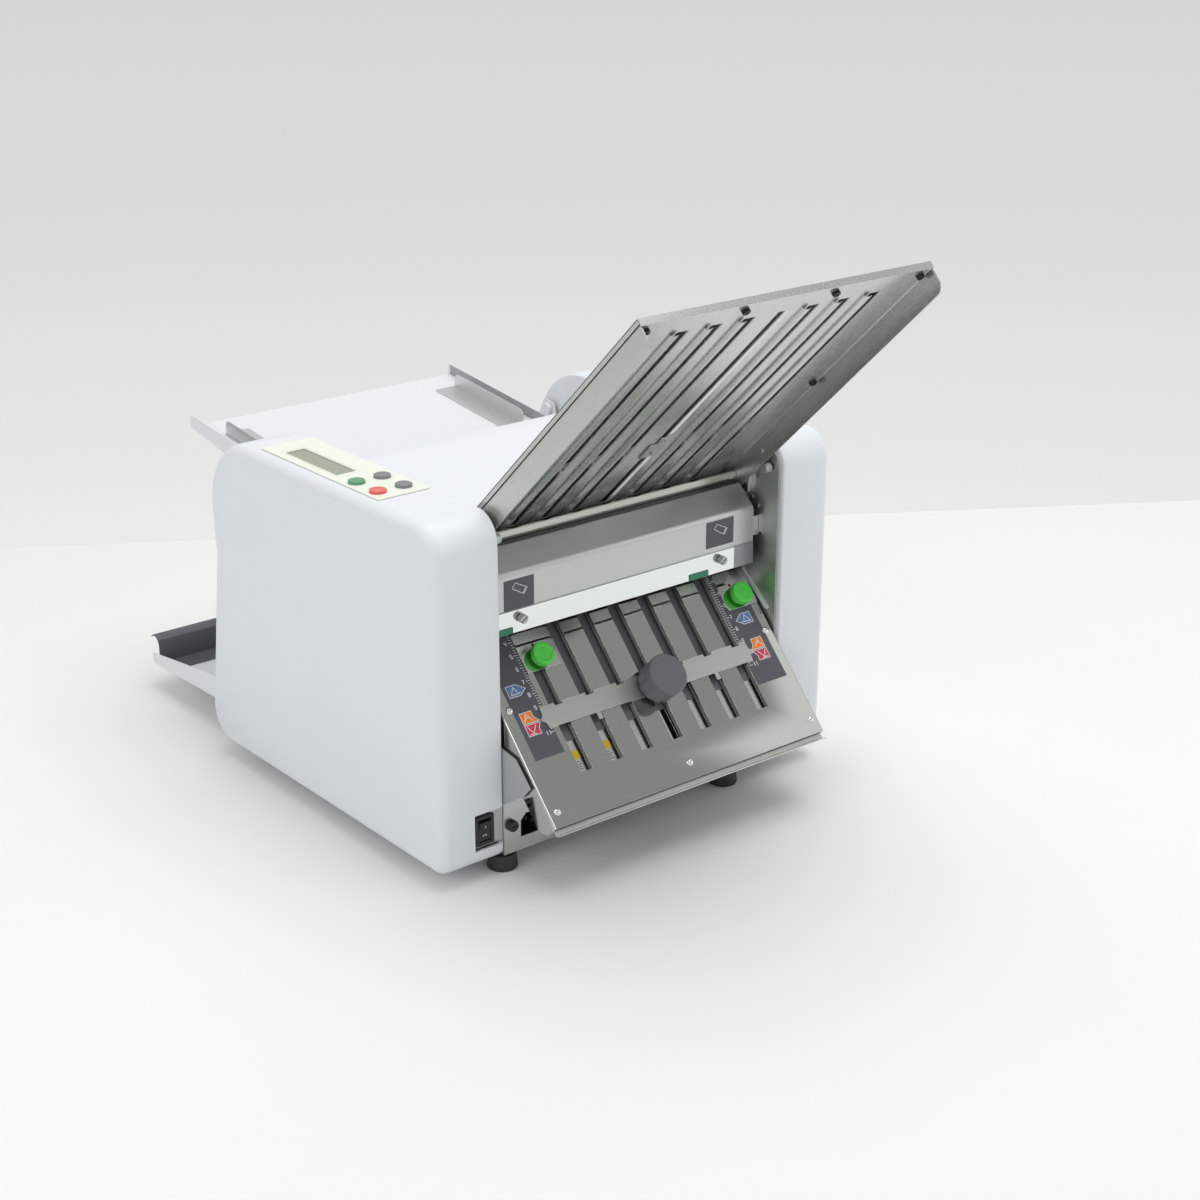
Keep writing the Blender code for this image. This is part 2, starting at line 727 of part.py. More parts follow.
def cover_opening():
    margin = COVER_OPENING_MARGIN
    top = COVER_HEIGHT - COVER_OPENING_TOP_MARGIN
    rear_foot = COVER_FOOT_DEPTH - COVER_OPENING_FOOT_MARGIN
    rear_middle = cover_rear(COVER_OPENING_MID_HEIGHT) - COVER_OPENING_REAR_MARGIN
    return rounded(((margin, margin, COVER_OPENING_RADIUS),
                    (rear_foot, margin, COVER_OPENING_RADIUS),
                    (rear_middle, COVER_OPENING_MID_HEIGHT, COVER_OPENING_RADIUS),
                    (COVER_OPENING_REAR_TOP, top, COVER_OPENING_RADIUS),
                    (margin, top, COVER_OPENING_RADIUS)))


def housing_shell(side, width):
    """Moulded shell with a rounded outer edge, open towards the side frame."""
    corners = cover_corners()
    edge = COVER_EDGE_RADIUS
    hollow = COVER_EDGE_RADIUS - COVER_WALL
    quarter = [pi / 2 * k / ROUND_STEPS for k in range(ROUND_STEPS + 1)]
    outer = [(width - edge + edge * sin(t), rounded(corners, edge * (1 - cos(t))))
             for t in reversed(quarter)]
    rim = [(COVER_RIM_RADIUS * (1 - sin(t)), rounded(corners, COVER_RIM_RADIUS * (1 - cos(t))))
           for t in (0, pi / 4, pi / 2)]
    inner = [(0, cover_opening()), (COVER_WALL, cover_opening())]
    inner += [(COVER_WALL, rounded(corners, COVER_WALL))]
    inner += [(width - edge + hollow * sin(t), rounded(corners, COVER_WALL + hollow * (1 - cos(t))))
              for t in quarter[::2]] + [(width - COVER_WALL, rounded(corners, edge))]
    rings = [[(side * (COVER_INNER + out), y, z) for y, z in outline]
             for out, outline in outer + rim + inner]
    return loft(rings)


def crease_cutter(side, width):
    """Wedge below a sweeping line on the outer face, fading out towards the front foot."""
    waist = Vector((COVER_WAIST_DEPTH + OVERRUN, COVER_WAIST_HEIGHT))
    foot = Vector((CREASE_FOOT, -OVERRUN))
    across_line = Vector(((foot - waist).y, -(foot - waist).x)).normalized()
    sweep = []
    for step in range(ROUND_STEPS * 2 + 1):
        share = step / (ROUND_STEPS * 2)
        bow = across_line * (CREASE_SAG * 4 * share * (1 - share))
        sweep.append(waist.lerp(foot, share) - bow)
    rear = max(COVER_FOOT_DEPTH, COVER_WAIST_DEPTH + OVERRUN) + OVERRUN
    outline = [(point.x, point.y) for point in sweep] + [(rear, -OVERRUN), (rear, waist.y)]
    wedge = slab(outline, width, OVERRUN)
    reach = waist.x - foot.x
    for vert in wedge.verts:
        if vert.co.z < width + OVERRUN / 2:
            vert.co.z = width - CREASE_DEPTH * max(vert.co.x - foot.x, 0) / reach
    flip = Matrix.Diagonal((1, 1, side, 1))
    return moved(wedge, flip)


def side_cover(name, side, width):
    cover = piece(name, housing_shell(side, width), Matrix(), "white_plastic")
    cut(cover, crease_cutter(side, width), across(side * COVER_INNER))
    return cover


def switch_window():
    """Space in the operator's housing for the switch and the frame tab behind it."""
    outer = SWITCH_CENTRE_X - SWITCH_WIDTH / 2 - WINDOW_MARGIN
    low = SWITCH_CENTRE_Z - WINDOW_HALF_HEIGHT
    high = SWITCH_CENTRE_Z + WINDOW_HALF_HEIGHT
    back = BASE_FRONT + FRAME_SHEET + OVERRUN
    return block((outer, -OVERRUN, low), (-COVER_INNER + OVERRUN, back, high))


def button_places():
    rows = (BUTTON_FRONT_ROW, BUTTON_REAR_ROW)
    return [(x, y) for y in rows for x in (BUTTON_OUTER_COLUMN, BUTTON_INNER_COLUMN)]


def make_housings():
    left = side_cover("left_side_cover", -1, LEFT_COVER_WIDTH)
    side_cover("right_side_cover", 1, RIGHT_COVER_WIDTH)
    cut(left, switch_window(), Matrix())
    bore = BUTTON_RADIUS + SEAT_GAP
    holes = [slab(circle(x, y, bore, 16), COVER_HEIGHT - COVER_WALL - OVERRUN, COVER_WALL + 2 * OVERRUN)
             for x, y in button_places()]
    cut(left, together(*holes), Matrix())
    lip = TOP_COVER_LIP
    path = ((TOP_COVER_FRONT, TOP_COVER_HEIGHT - lip),
            (TOP_COVER_FRONT, TOP_COVER_HEIGHT - TOP_COVER_CROWN),
            (TOP_COVER_FRONT + TOP_COVER_SLOPE, TOP_COVER_HEIGHT),
            (TOP_COVER_REAR - TOP_COVER_SLOPE, TOP_COVER_HEIGHT),
            (TOP_COVER_REAR, TOP_COVER_HEIGHT - TOP_COVER_CROWN),
            (TOP_COVER_REAR, TOP_COVER_HEIGHT - lip))
    sheet = TOP_COVER_SHEET
    lowered = [(y, z - sheet / 2) for y, z in path]
    half = COVER_INNER - SEAT_GAP
    piece("top_cover", slab(bent_sheet(lowered, sheet), -half, 2 * half), across(0), "white_plastic")


# Frame

def frame_outline():
    ear = COVER_HEIGHT - FRAME_MARGIN
    shoulder = COVER_HEIGHT - FRAME_SHOULDER_DROP
    rear_foot = COVER_FOOT_DEPTH - FRAME_FOOT_MARGIN
    rear_middle = cover_rear(FRAME_MID_HEIGHT) - FRAME_REAR_MARGIN
    return rounded(((FRAME_FRONT, FRAME_FOOT, FRAME_SMALL_RADIUS),
                    (rear_foot, FRAME_FOOT, FRAME_REAR_RADIUS),
                    (rear_middle, FRAME_MID_HEIGHT, FRAME_REAR_RADIUS),
                    (FRAME_REAR_TOP, shoulder, FRAME_SMALL_RADIUS),
                    (FRAME_EAR_DEPTH, shoulder, FRAME_SMALL_RADIUS),
                    (FRAME_EAR_DEPTH, ear, FRAME_SMALL_RADIUS),
                    (FRAME_FRONT, ear, FRAME_EAR_RADIUS)), steps=3)


def frame_plate(name, side):
    """Side plate with a bearing boss at each shaft and the studs that carry the fold plates."""
    start = GAP_HALF if side > 0 else -GAP_HALF - FRAME_SHEET
    frame = piece(name, slab(frame_outline(), start, FRAME_SHEET), across(0), "frame_steel")
    inner = GAP_HALF + FRAME_SHEET / 2 - BEARING_HALF_LENGTH
    bosses = []
    bores = []
    for centre in SHAFT_CENTRES:
        low = min(side * inner, side * (inner + 2 * BEARING_HALF_LENGTH))
        disc = circle(centre.x, centre.y, BEARING_RADIUS, BORE_SIDES)
        hole = circle(centre.x, centre.y, SHAFT_RADIUS + SHAFT_GAP, BORE_SIDES)
        bosses.append(slab(disc, low, 2 * BEARING_HALF_LENGTH))
        bores.append(slab(hole, low - OVERRUN, 2 * (BEARING_HALF_LENGTH + OVERRUN)))
    for along, depth, reach in PLATE_STUDS:
        bed = UPPER if reach == "under" else LOWER
        spot = bed @ Vector((0, along, depth))
        inset = 2 * STUD_RADIUS if reach == "under" else GAP_HALF - LOWER_HALF - SEAT_GAP
        ends = sorted((side * (GAP_HALF - inset), side * (GAP_HALF + FRAME_SHEET / 2)))
        bosses.append(slab(circle(spot.y, spot.z, STUD_RADIUS, BORE_SIDES), ends[0], ends[1] - ends[0]))
    fuse(frame, together(*bosses), across(0))
    cut(frame, together(*bores), across(0))
    return frame


def make_frames():
    left = frame_plate("left_side_frame", -1)
    right = frame_plate("right_side_frame", 1)
    boss = circle(MOTOR_CENTRE.x, MOTOR_CENTRE.y, MOTOR_BOSS_RADIUS + SEAT_GAP)
    cut(right, slab(boss, GAP_HALF - OVERRUN, FRAME_SHEET + 2 * OVERRUN), across(0))
    outer = SWITCH_CENTRE_X - SWITCH_WIDTH / 2 - WINDOW_MARGIN + SWITCH_TAB_GAP
    reach = WINDOW_HALF_HEIGHT - SWITCH_TAB_GAP
    low = SWITCH_CENTRE_Z - reach
    high = SWITCH_CENTRE_Z + reach
    hole = rectangle(*switch_body_sides(SEAT_GAP))
    tab = slab(rectangle(outer, -GAP_HALF - FRAME_SHEET / 2, low, high), -FRAME_SHEET, FRAME_SHEET, [hole])
    fuse(left, tab, facing(FRAME_FRONT))


def switch_body_sides(grow):
    half = SWITCH_WIDTH / 2 - SWITCH_BEZEL + grow
    rise = SWITCH_HEIGHT / 2 - SWITCH_BEZEL + grow
    return (SWITCH_CENTRE_X - half, SWITCH_CENTRE_X + half, SWITCH_CENTRE_Z - rise, SWITCH_CENTRE_Z + rise)


def inlet_cutout():
    """Cut-out in the base's front lip: the inlet's socket with one corner cut across."""
    half = INLET_WIDTH / 2 - INLET_WALL
    rise = INLET_HEIGHT / 2 - INLET_WALL
    left = INLET_CENTRE_X - half
    right = INLET_CENTRE_X + half
    low = INLET_CENTRE_Z - rise
    high = INLET_CENTRE_Z + rise
    return [(left, low), (right, low), (right, high), (left + INLET_CHAMFER, high),
            (left, high - INLET_CHAMFER)]


def make_base():
    path = ((BASE_FRONT, BASE_FRONT_LIP), (BASE_FRONT, BASE_PLANE),
            (BASE_REAR, BASE_PLANE), (BASE_REAR, BASE_REAR_LIP))
    half = GAP_HALF - SEAT_GAP
    base = piece("base_frame", slab(bent_sheet(path, FRAME_SHEET), -half, 2 * half),
                 across(0), "frame_steel")
    back = BASE_FRONT + FRAME_SHEET
    cut(base, slab(inlet_cutout(), -OVERRUN, 2 * OVERRUN), facing(back))
    hole = circle(FUSE_CENTRE_X, FUSE_CENTRE_Z, FUSE_BODY_RADIUS + SEAT_GAP)
    cut(base, slab(hole, -OVERRUN, 2 * OVERRUN), facing(back))
    under = BASE_PLANE - FRAME_SHEET / 2 - SEAT_GAP
    floor = -FOOT_HEIGHT + under
    edge = FOOT_EDGE
    brim = under - FOOT_BOSS_HEIGHT
    profile = ((0, floor), (FOOT_RADIUS - edge, floor), (FOOT_RADIUS, floor + edge),
               (FOOT_RADIUS - edge, brim), (FOOT_BOSS_RADIUS, brim), (FOOT_BOSS_RADIUS, under),
               (0, under))
    names = ("front_left_foot", "front_right_foot", "rear_left_foot", "rear_right_foot")
    for name, (x, y) in zip(names, FOOT_PLACES):
        piece(name, turned(profile, 14), Matrix.Translation((x, y, 0)), "rubber")


# Rollers and drive

def shaft_profile(stations, left_end, right_end):
    """Stepped shaft: stations are (start, end, radius) along it, from left to right."""
    profile = [(0, left_end)]
    here = left_end
    for start, end, radius in stations:
        if start > here:
            profile += [(SHAFT_RADIUS, here), (SHAFT_RADIUS, start)]
        profile += [(radius, start), (radius, end)]
        here = end
    if right_end > here:
        profile += [(SHAFT_RADIUS, here), (SHAFT_RADIUS, right_end)]
    profile.append((0, right_end))
    return profile


def pulley_stations():
    low = PULLEY_PLANE - PULLEY_WIDTH / 2
    high = PULLEY_PLANE + PULLEY_WIDTH / 2
    rim = PULLEY_FLANGE_WIDTH
    return [(low - rim, low, PULLEY_RADIUS + PULLEY_FLANGE), (low, high, PULLEY_RADIUS),
            (high, high + rim, PULLEY_RADIUS + PULLEY_FLANGE)]


def make_rollers():
    half = ROLLER_HALF_LENGTH
    plain_end = GAP_HALF + FRAME_SHEET + BEARING_HALF_LENGTH
    pulley_end = PULLEY_PLANE - PULLEY_WIDTH / 2 - PULLEY_FLANGE_WIDTH
    gear_end = GEAR_PLANE + GEAR_WIDTH
    drive_end = DRIVE_GEAR_PLANE + GEAR_WIDTH
    face = ROLLER_PITCH_RADIUS - PAPER_GAP / 2
    body = [(-half, half, face)]
    for index, centre in enumerate(FOLD_CENTRES, start=1):
        has_pulley = index in (1, 3)
        stations = (pulley_stations() if has_pulley else []) + body
        left = pulley_end if has_pulley else -plain_end
        right = drive_end if index == 4 else gear_end
        piece(f"fold_roller_{index}", turned(shaft_profile(stations, left, right), ROLLER_SIDES),
              axle(0, centre.x, centre.y), "roller_rubber")
    tyres = []
    for place in (-FEED_TYRE_OFFSET, 0, FEED_TYRE_OFFSET):
        tyres.append((place - FEED_TYRE_HALF_LENGTH, place + FEED_TYRE_HALF_LENGTH, FEED_ROLLER_RADIUS))
    feed = pulley_stations() + [(-half, tyres[0][0], FEED_CORE_RADIUS)]
    for index, tyre in enumerate(tyres):
        follow = tyres[index + 1][0] if index + 1 < len(tyres) else half
        feed += [tyre, (tyre[1], follow, FEED_CORE_RADIUS)]
    piece("feed_roller", turned(shaft_profile(feed, pulley_end, plain_end), ROLLER_SIDES),
          axle(0, FEED_CENTRE.x, FEED_CENTRE.y), "roller_rubber")
    tail = pulley_stations() + [(-half, half, EXIT_ROLLER_RADIUS)]
    piece("exit_roller", turned(shaft_profile(tail, pulley_end, plain_end), ROLLER_SIDES),
          axle(0, EXIT_CENTRE.x, EXIT_CENTRE.y), "roller_rubber")


def meshing_phase(from_centre, from_phase, from_teeth, to_centre, to_teeth):
    """Phase that puts a gap of the second gear opposite a tooth of the first."""
    line = to_centre - from_centre
    heading = atan2(line.y, line.x)
    share = (heading - from_phase) / (2 * pi / from_teeth)
    return heading + pi - (HALF_TURN_SHARE - share) * (2 * pi / to_teeth)


def make_gears():
    bore = SHAFT_RADIUS + GEAR_BORE_GAP
    width = GEAR_WIDTH
    phase = 0.0
    previous = None
    for index, centre in enumerate(FOLD_CENTRES, start=1):
        if previous is not None:
            phase = meshing_phase(previous, phase, GEAR_TEETH, centre, GEAR_TEETH)
        shape = slab(gear_outline(GEAR_TEETH, phase), 0, width, [circle(0, 0, bore)])
        at = Matrix.Translation((0, centre.x, centre.y)) @ across(GEAR_PLANE)
        name = "drive_gear" if index == len(FOLD_CENTRES) else f"fold_gear_{index}"
        gear = piece(name, shape, at, "gear_plastic", smooth=False)
        previous = centre
    offset = DRIVE_GEAR_PLANE - GEAR_PLANE
    fuse(gear, slab(circle(0, 0, GEAR_HUB_RADIUS, 16), width / 2, offset, [circle(0, 0, bore)]), at)
    fuse(gear, slab(gear_outline(DRIVE_GEAR_TEETH, 0), offset, width, [circle(0, 0, bore)]), at)
    phase = meshing_phase(previous, 0, DRIVE_GEAR_TEETH, MOTOR_CENTRE, PINION_TEETH)
    place = Matrix.Translation((0, MOTOR_CENTRE.x, MOTOR_CENTRE.y)) @ across(DRIVE_GEAR_PLANE)
    pinion = piece("motor_pinion", slab(gear_outline(PINION_TEETH, phase), 0, width), place,
                   "motor_steel", smooth=False)
    start = GAP_HALF - MOTOR_CAP_LENGTH - DRIVE_GEAR_PLANE
    fuse(pinion, slab(circle(0, 0, MOTOR_SHAFT_RADIUS, 12), start, width / 2 - start), place)


def make_motor():
    face = GAP_HALF - SEAT_GAP
    tail = face - MOTOR_LENGTH
    boss = GAP_HALF + FRAME_SHEET
    bore = MOTOR_SHAFT_RADIUS + SEAT_GAP
    chamfer = MOTOR_CHAMFER
    profile = ((0, tail - MOTOR_CAP_LENGTH), (MOTOR_CAP_RADIUS, tail - MOTOR_CAP_LENGTH),
               (MOTOR_CAP_RADIUS, tail), (MOTOR_RADIUS - chamfer, tail), (MOTOR_RADIUS, tail + chamfer),
               (MOTOR_RADIUS, face), (MOTOR_BOSS_RADIUS, face), (MOTOR_BOSS_RADIUS, boss),
               (bore, boss), (bore, face - MOTOR_CAP_LENGTH), (0, face - MOTOR_CAP_LENGTH))
    at = axle(0, MOTOR_CENTRE.x, MOTOR_CENTRE.y)
    piece("drive_motor", turned(profile, 18), at, "motor_steel")


def make_belts():
    reach = PULLEY_RADIUS + SEAT_GAP
    runs = (("feed_belt", FOLD_CENTRES[0], FEED_CENTRE), ("exit_belt", FOLD_CENTRES[2], EXIT_CENTRE))
    for name, start, end in runs:
        outline = stadium(start, end, reach + BELT_THICKNESS)
        hole = stadium(start, end, reach)
        piece(name, slab(outline, -BELT_WIDTH / 2, BELT_WIDTH, [hole]), across(PULLEY_PLANE), "rubber")


# Inner guides

def make_guides():
    half = GAP_HALF - SEAT_GAP
    bed_path = ((FEED_BED_FRONT + FEED_BED_LIP / 2, FEED_BED_FRONT_HEIGHT - FEED_BED_LIP),
                (FEED_BED_FRONT, FEED_BED_FRONT_HEIGHT), (FEED_BED_REAR, FEED_BED_REAR_HEIGHT),
                (FEED_BED_REAR, FEED_BED_REAR_HEIGHT - FEED_BED_LIP))
    piece("feed_bed", slab(bent_sheet(bed_path, SHEET), -half, 2 * half), across(0), "brushed_steel")
    chute_path = ((CHUTE_FRONT, CHUTE_FRONT_HEIGHT + CHUTE_MOUTH), (CHUTE_FRONT, CHUTE_FRONT_HEIGHT),
                  (CHUTE_REAR, CHUTE_REAR_HEIGHT))
    piece("delivery_chute", slab(bent_sheet(chute_path, SHEET), -half, 2 * half), across(0), "brushed_steel")
    rear_path = ((REAR_COVER_DEPTH - REAR_COVER_LIP, REAR_COVER_FOOT), (REAR_COVER_DEPTH, REAR_COVER_FOOT),
                 (REAR_COVER_DEPTH - REAR_COVER_LEAN, REAR_COVER_TOP),
                 (REAR_COVER_DEPTH - REAR_COVER_LEAN - REAR_COVER_LIP, REAR_COVER_TOP))
    piece("rear_cover", slab(bent_sheet(rear_path, REAR_COVER_SHEET), -half, 2 * half),
          across(0), "white_plastic")


# Front roller cover

def make_front_cover():
    sheet = FRONT_COVER_SHEET
    middle = FRONT_COVER_FACE + sheet / 2
    foot = FRONT_COVER_FOOT + sheet / 2
    path = ((middle + FRONT_COVER_RETURN, foot), (middle, foot), (middle, FRONT_COVER_BEND),
            (FRONT_COVER_TOP_DEPTH, FRONT_COVER_TOP),
            (FRONT_COVER_TOP_DEPTH + FRONT_COVER_RETURN / 2, FRONT_COVER_TOP))
    half = FRONT_COVER_HALF
    cover = piece("front_roller_cover", slab(bent_sheet(path, sheet), -half, 2 * half),
                  across(0), "frame_steel")
    back = FRONT_COVER_FACE + sheet
    for side in (-1, 1):
        ends = sorted((side * (half - OVERRUN), side * (GAP_HALF - SEAT_GAP)))
        tab = block((ends[0], FRONT_COVER_FACE + sheet / 2, FRONT_COVER_TAB_FOOT),
                    (ends[1], back + sheet, FRONT_COVER_TAB_TOP))
        fuse(cover, tab, Matrix())
    places = [(LEFT_THUMB_SCREW, THUMB_SCREW_HEIGHT), (RIGHT_THUMB_SCREW, THUMB_SCREW_HEIGHT)]
    shanks = [circle(x, z, THUMB_SCREW_SHANK + SEAT_GAP) for x, z in places]
    for hole in shanks:
        cut(cover, slab(hole, -OVERRUN, 2 * OVERRUN), facing(FRONT_COVER_FACE))
    strip_back = FRONT_COVER_FACE - SEAT_GAP
    strip = slab(rectangle(-STRIP_HALF, STRIP_HALF, STRIP_FOOT, STRIP_TOP), 0, STRIP_SHEET, shanks)
    piece("cover_strip", strip, facing(strip_back), "polished_strip")
    head = strip_back - STRIP_SHEET - SEAT_GAP
    tail = -THUMB_SCREW_LENGTH
    radius = THUMB_SCREW_RADIUS
    profile = ((0, tail), (THUMB_SCREW_SHANK, tail), (THUMB_SCREW_SHANK, 0), (radius, 0),
               (radius, THUMB_SCREW_HEAD * HEAD_EDGE_SHARE), (radius * HEAD_EDGE_SHARE, THUMB_SCREW_HEAD),
               (0, THUMB_SCREW_HEAD))
    for name, (x, z) in zip(("left_thumb_screw", "right_thumb_screw"), places):
        piece(name, turned(profile, 14), facing(head) @ Matrix.Translation((x, z, 0)), "zinc")


# Control panel and power entry

def make_panel():
    base = COVER_HEIGHT + SEAT_GAP
    outline = rectangle(PANEL_OUTER, PANEL_INNER, PANEL_FRONT, PANEL_REAR, PANEL_CORNER)
    x = DISPLAY_CENTRE_X
    y = DISPLAY_CENTRE_Y
    half = DISPLAY_WIDTH / 2
    reach = DISPLAY_LENGTH / 2
    window = rectangle(x - half - SEAT_GAP, x + half + SEAT_GAP, y - reach - SEAT_GAP, y + reach + SEAT_GAP)
    bores = [circle(u, v, BUTTON_RADIUS + SEAT_GAP, 16) for u, v in button_places()]
    at = Matrix.Translation((0, 0, base))
    piece("control_panel", slab(outline, 0, PANEL_SHEET, [window, *bores]), at, "panel_cream")
    piece("display_window", slab(rectangle(x - half, x + half, y - reach, y + reach), 0, DISPLAY_SHEET),
          at, "display_olive")
    names = (("stop_button", "button_red"), ("minus_button", "button_grey"),
             ("start_button", "button_green"), ("plus_button", "button_grey"))
    top = PANEL_SHEET + SEAT_GAP + BUTTON_PROUD
    ceiling = -COVER_WALL - SEAT_GAP
    foot = ceiling - BUTTON_FLANGE_HEIGHT
    radius = BUTTON_RADIUS
    profile = ((0, foot), (radius + BUTTON_FLANGE, foot), (radius + BUTTON_FLANGE, ceiling),
               (radius, ceiling), (radius, top - BUTTON_PROUD / 3), (radius * HEAD_EDGE_SHARE, top),
               (0, top))
    for (name, finish), (u, v) in zip(names, button_places()):
        place = Matrix.Translation((u, v, COVER_HEIGHT))
        piece(name, turned(profile, 16), place, finish)


def make_power_entry():
    front = SWITCH_FRONT
    x = SWITCH_CENTRE_X
    z = SWITCH_CENTRE_Z
    half = SWITCH_WIDTH / 2
    rise = SWITCH_HEIGHT / 2
    bezel = slab(rectangle(x - half, x + half, z - rise, z + rise, SWITCH_BEZEL / 2), -SWITCH_BEZEL,
                 SWITCH_BEZEL)
    switch = piece("switch_body", bezel, facing(front), "black_plastic")
    body = slab(rectangle(*switch_body_sides(0)), -SWITCH_DEPTH, SWITCH_DEPTH - SWITCH_BEZEL / 2)
    fuse(switch, body, facing(front))
    room = half - SWITCH_WALL
    well = slab(rectangle(x - room, x + room, z - rise + SWITCH_WALL, z + rise - SWITCH_WALL),
                -SWITCH_DEPTH + SWITCH_WALL, SWITCH_DEPTH)
    cut(switch, well, facing(front))
    reach = ROCKER_HALF
    slope = reach * ROCKER_SLOPE_SHARE
    outline = ((-ROCKER_PROUD, -reach), (ROCKER_DEPTH / 2, -slope), (ROCKER_DEPTH, 0),
               (ROCKER_DEPTH / 2, slope), (-ROCKER_PROUD, reach), (-ROCKER_PROUD + ROCKER_DISH, 0))
    width = room - SEAT_GAP
    at = Matrix.Translation((x, ROCKER_AXIS_DEPTH, z)) @ Matrix.Rotation(ROCKER_TILT, 4, "X") @ across(0)
    piece("power_rocker", slab(outline, -width, 2 * width), at, "black_plastic")
    back = BASE_FRONT + FRAME_SHEET / 2 + SEAT_GAP
    wide = INLET_WIDTH / 2
    tall = INLET_HEIGHT / 2
    inlet_x = INLET_CENTRE_X
    inlet_z = INLET_CENTRE_Z
    shell = slab(rectangle(inlet_x - wide, inlet_x + wide, inlet_z - tall, inlet_z + tall),
                 -INLET_DEPTH, INLET_DEPTH)
    inlet = piece("power_inlet", shell, facing(back), "black_plastic")
    socket = slab(inlet_cutout(), -INLET_SOCKET_DEPTH, INLET_SOCKET_DEPTH + OVERRUN)
    cut(inlet, socket, facing(back))
    pins = []
    for offset, drop in ((-INLET_PIN_SPACING, INLET_PIN_DROP), (0, -INLET_PIN_DROP),
                         (INLET_PIN_SPACING, INLET_PIN_DROP)):
        pin_x = inlet_x + offset
        pin_z = inlet_z - drop / 2
        pins.append(slab(rectangle(pin_x - INLET_PIN_WIDTH / 2, pin_x + INLET_PIN_WIDTH / 2,
                                   pin_z - INLET_PIN_HEIGHT / 2, pin_z + INLET_PIN_HEIGHT / 2),
                         -INLET_SOCKET_DEPTH - INLET_WALL, INLET_SOCKET_DEPTH))
    fuse(inlet, together(*pins), facing(back))
    face = BASE_FRONT - FRAME_SHEET / 2 - SEAT_GAP
    radius = FUSE_RADIUS
    profile = ((0, -FUSE_BODY_LENGTH), (FUSE_BODY_RADIUS, -FUSE_BODY_LENGTH), (FUSE_BODY_RADIUS, 0),
               (radius, 0), (radius, FUSE_HEAD * HEAD_EDGE_SHARE), (radius * HEAD_EDGE_SHARE, FUSE_HEAD),
               (0, FUSE_HEAD))
    place = facing(face) @ Matrix.Translation((FUSE_CENTRE_X, FUSE_CENTRE_Z, 0))
    piece("fuse_holder", turned(profile, 14), place, "black_plastic")


# Upper fold plate

def slot_centres(middle):
    return [middle + SLOT_PITCH * k for k in (-3, -2, -1, 0, 1, 2, 3)]


def louvre(x):
    """Pressed lip along the left of a slot, open over the slot."""
    shift = UPPER_SLOT_WIDTH * LOUVRE_SHIFT_SHARE
    right = x + UPPER_SLOT_WIDTH / 2 - shift + LOUVRE_WIDTH / 4
    left = right - LOUVRE_WIDTH
    path = ((left, -SHEET / 2), (left + LOUVRE_WIDTH / 5, LOUVRE_HEIGHT / 2),
            (left + LOUVRE_WIDTH / 2, LOUVRE_HEIGHT), (right, LOUVRE_HEIGHT))
    outline = bent_sheet(path, LOUVRE_SHEET)
    run = slab(outline, UPPER_SLOT_START, UPPER_SLOT_END - UPPER_SLOT_START)
    turn = Matrix(((1, 0, 0, 0), (0, 0, 1, 0), (0, 1, 0, 0), (0, 0, 0, 1)))
    return moved(run, turn)


def make_upper_plate():
    half = UPPER_HALF
    middle = UPPER_CENTRE_X
    slots = []
    for x in slot_centres(middle):
        wide = UPPER_SLIT_WIDTH / 2 if x == middle else UPPER_SLOT_WIDTH / 2
        slots.append(rectangle(x - wide, x + wide, UPPER_SLOT_START, UPPER_SLOT_END))
    bolt_bore = BOLT_SHANK_RADIUS + SEAT_GAP
    sheet = slab(rectangle(-half, half, UPPER_START, UPPER_END), -SHEET, SHEET, slots)
    front = piece("upper_plate_front", sheet, UPPER, "brushed_steel")
    corner = UPPER_FLANGE_RADIUS
    flange = rounded(((UPPER_START, -SHEET, 0), (UPPER_END, -SHEET, 0), (UPPER_END, UPPER_FLANGE, corner),
                      (UPPER_START, UPPER_FLANGE, corner)), steps=4)
    for start in (-half, half - SHEET):
        fuse(front, moved(slab(flange, start, SHEET), SIDEWAYS), UPPER)
    lips = [louvre(x) for x in slot_centres(middle) if x != middle]
    fuse(front, together(*lips), UPPER)
    back_face = -SHEET - UPPER_GAP
    lip_end = UPPER_END + SEAT_GAP + SHEET
    path = ((UPPER_START, back_face - SHEET / 2), (lip_end - SHEET / 2, back_face - SHEET / 2),
            (lip_end - SHEET / 2, UPPER_LIP))
    back = slab(bent_sheet(path, SHEET), -half, 2 * half)
    rear = piece("upper_plate_back", moved(back, SIDEWAYS), UPPER, "brushed_steel")
    slit = KNOB_STUD_RADIUS + SEAT_GAP * 2
    cutters = [slab(rectangle(middle - slit, middle + slit, UPPER_SLOT_START, UPPER_SLOT_END),
                    back_face - 2 * SHEET, 3 * SHEET)]
    cutters += [slab(circle(x, y, bolt_bore, 8), back_face - 2 * SHEET, 3 * SHEET) for x, y in BOLT_PLACES]
    cut(rear, together(*cutters), UPPER)
    nut = back_face - SHEET - SEAT_GAP
    radius = BOLT_HEAD_RADIUS
    sleeve = BOLT_SHANK_RADIUS * 2
    tail = nut - BOLT_HEAD_HEIGHT * NUT_HEIGHT_SHARE
    profile = ((0, tail), (radius, tail), (radius, nut),
               (BOLT_SHANK_RADIUS, nut), (BOLT_SHANK_RADIUS, back_face + SEAT_GAP),
               (sleeve, back_face + SEAT_GAP), (sleeve, -SHEET / 2), (radius, -SHEET / 2),
               (radius, BOLT_HEAD_HEIGHT), (0, BOLT_HEAD_HEIGHT))
    bolts = [moved(turned(profile, 6), Matrix.Translation((x, y, 0))) for x, y in BOLT_PLACES]
    fuse(front, together(*bolts), UPPER)


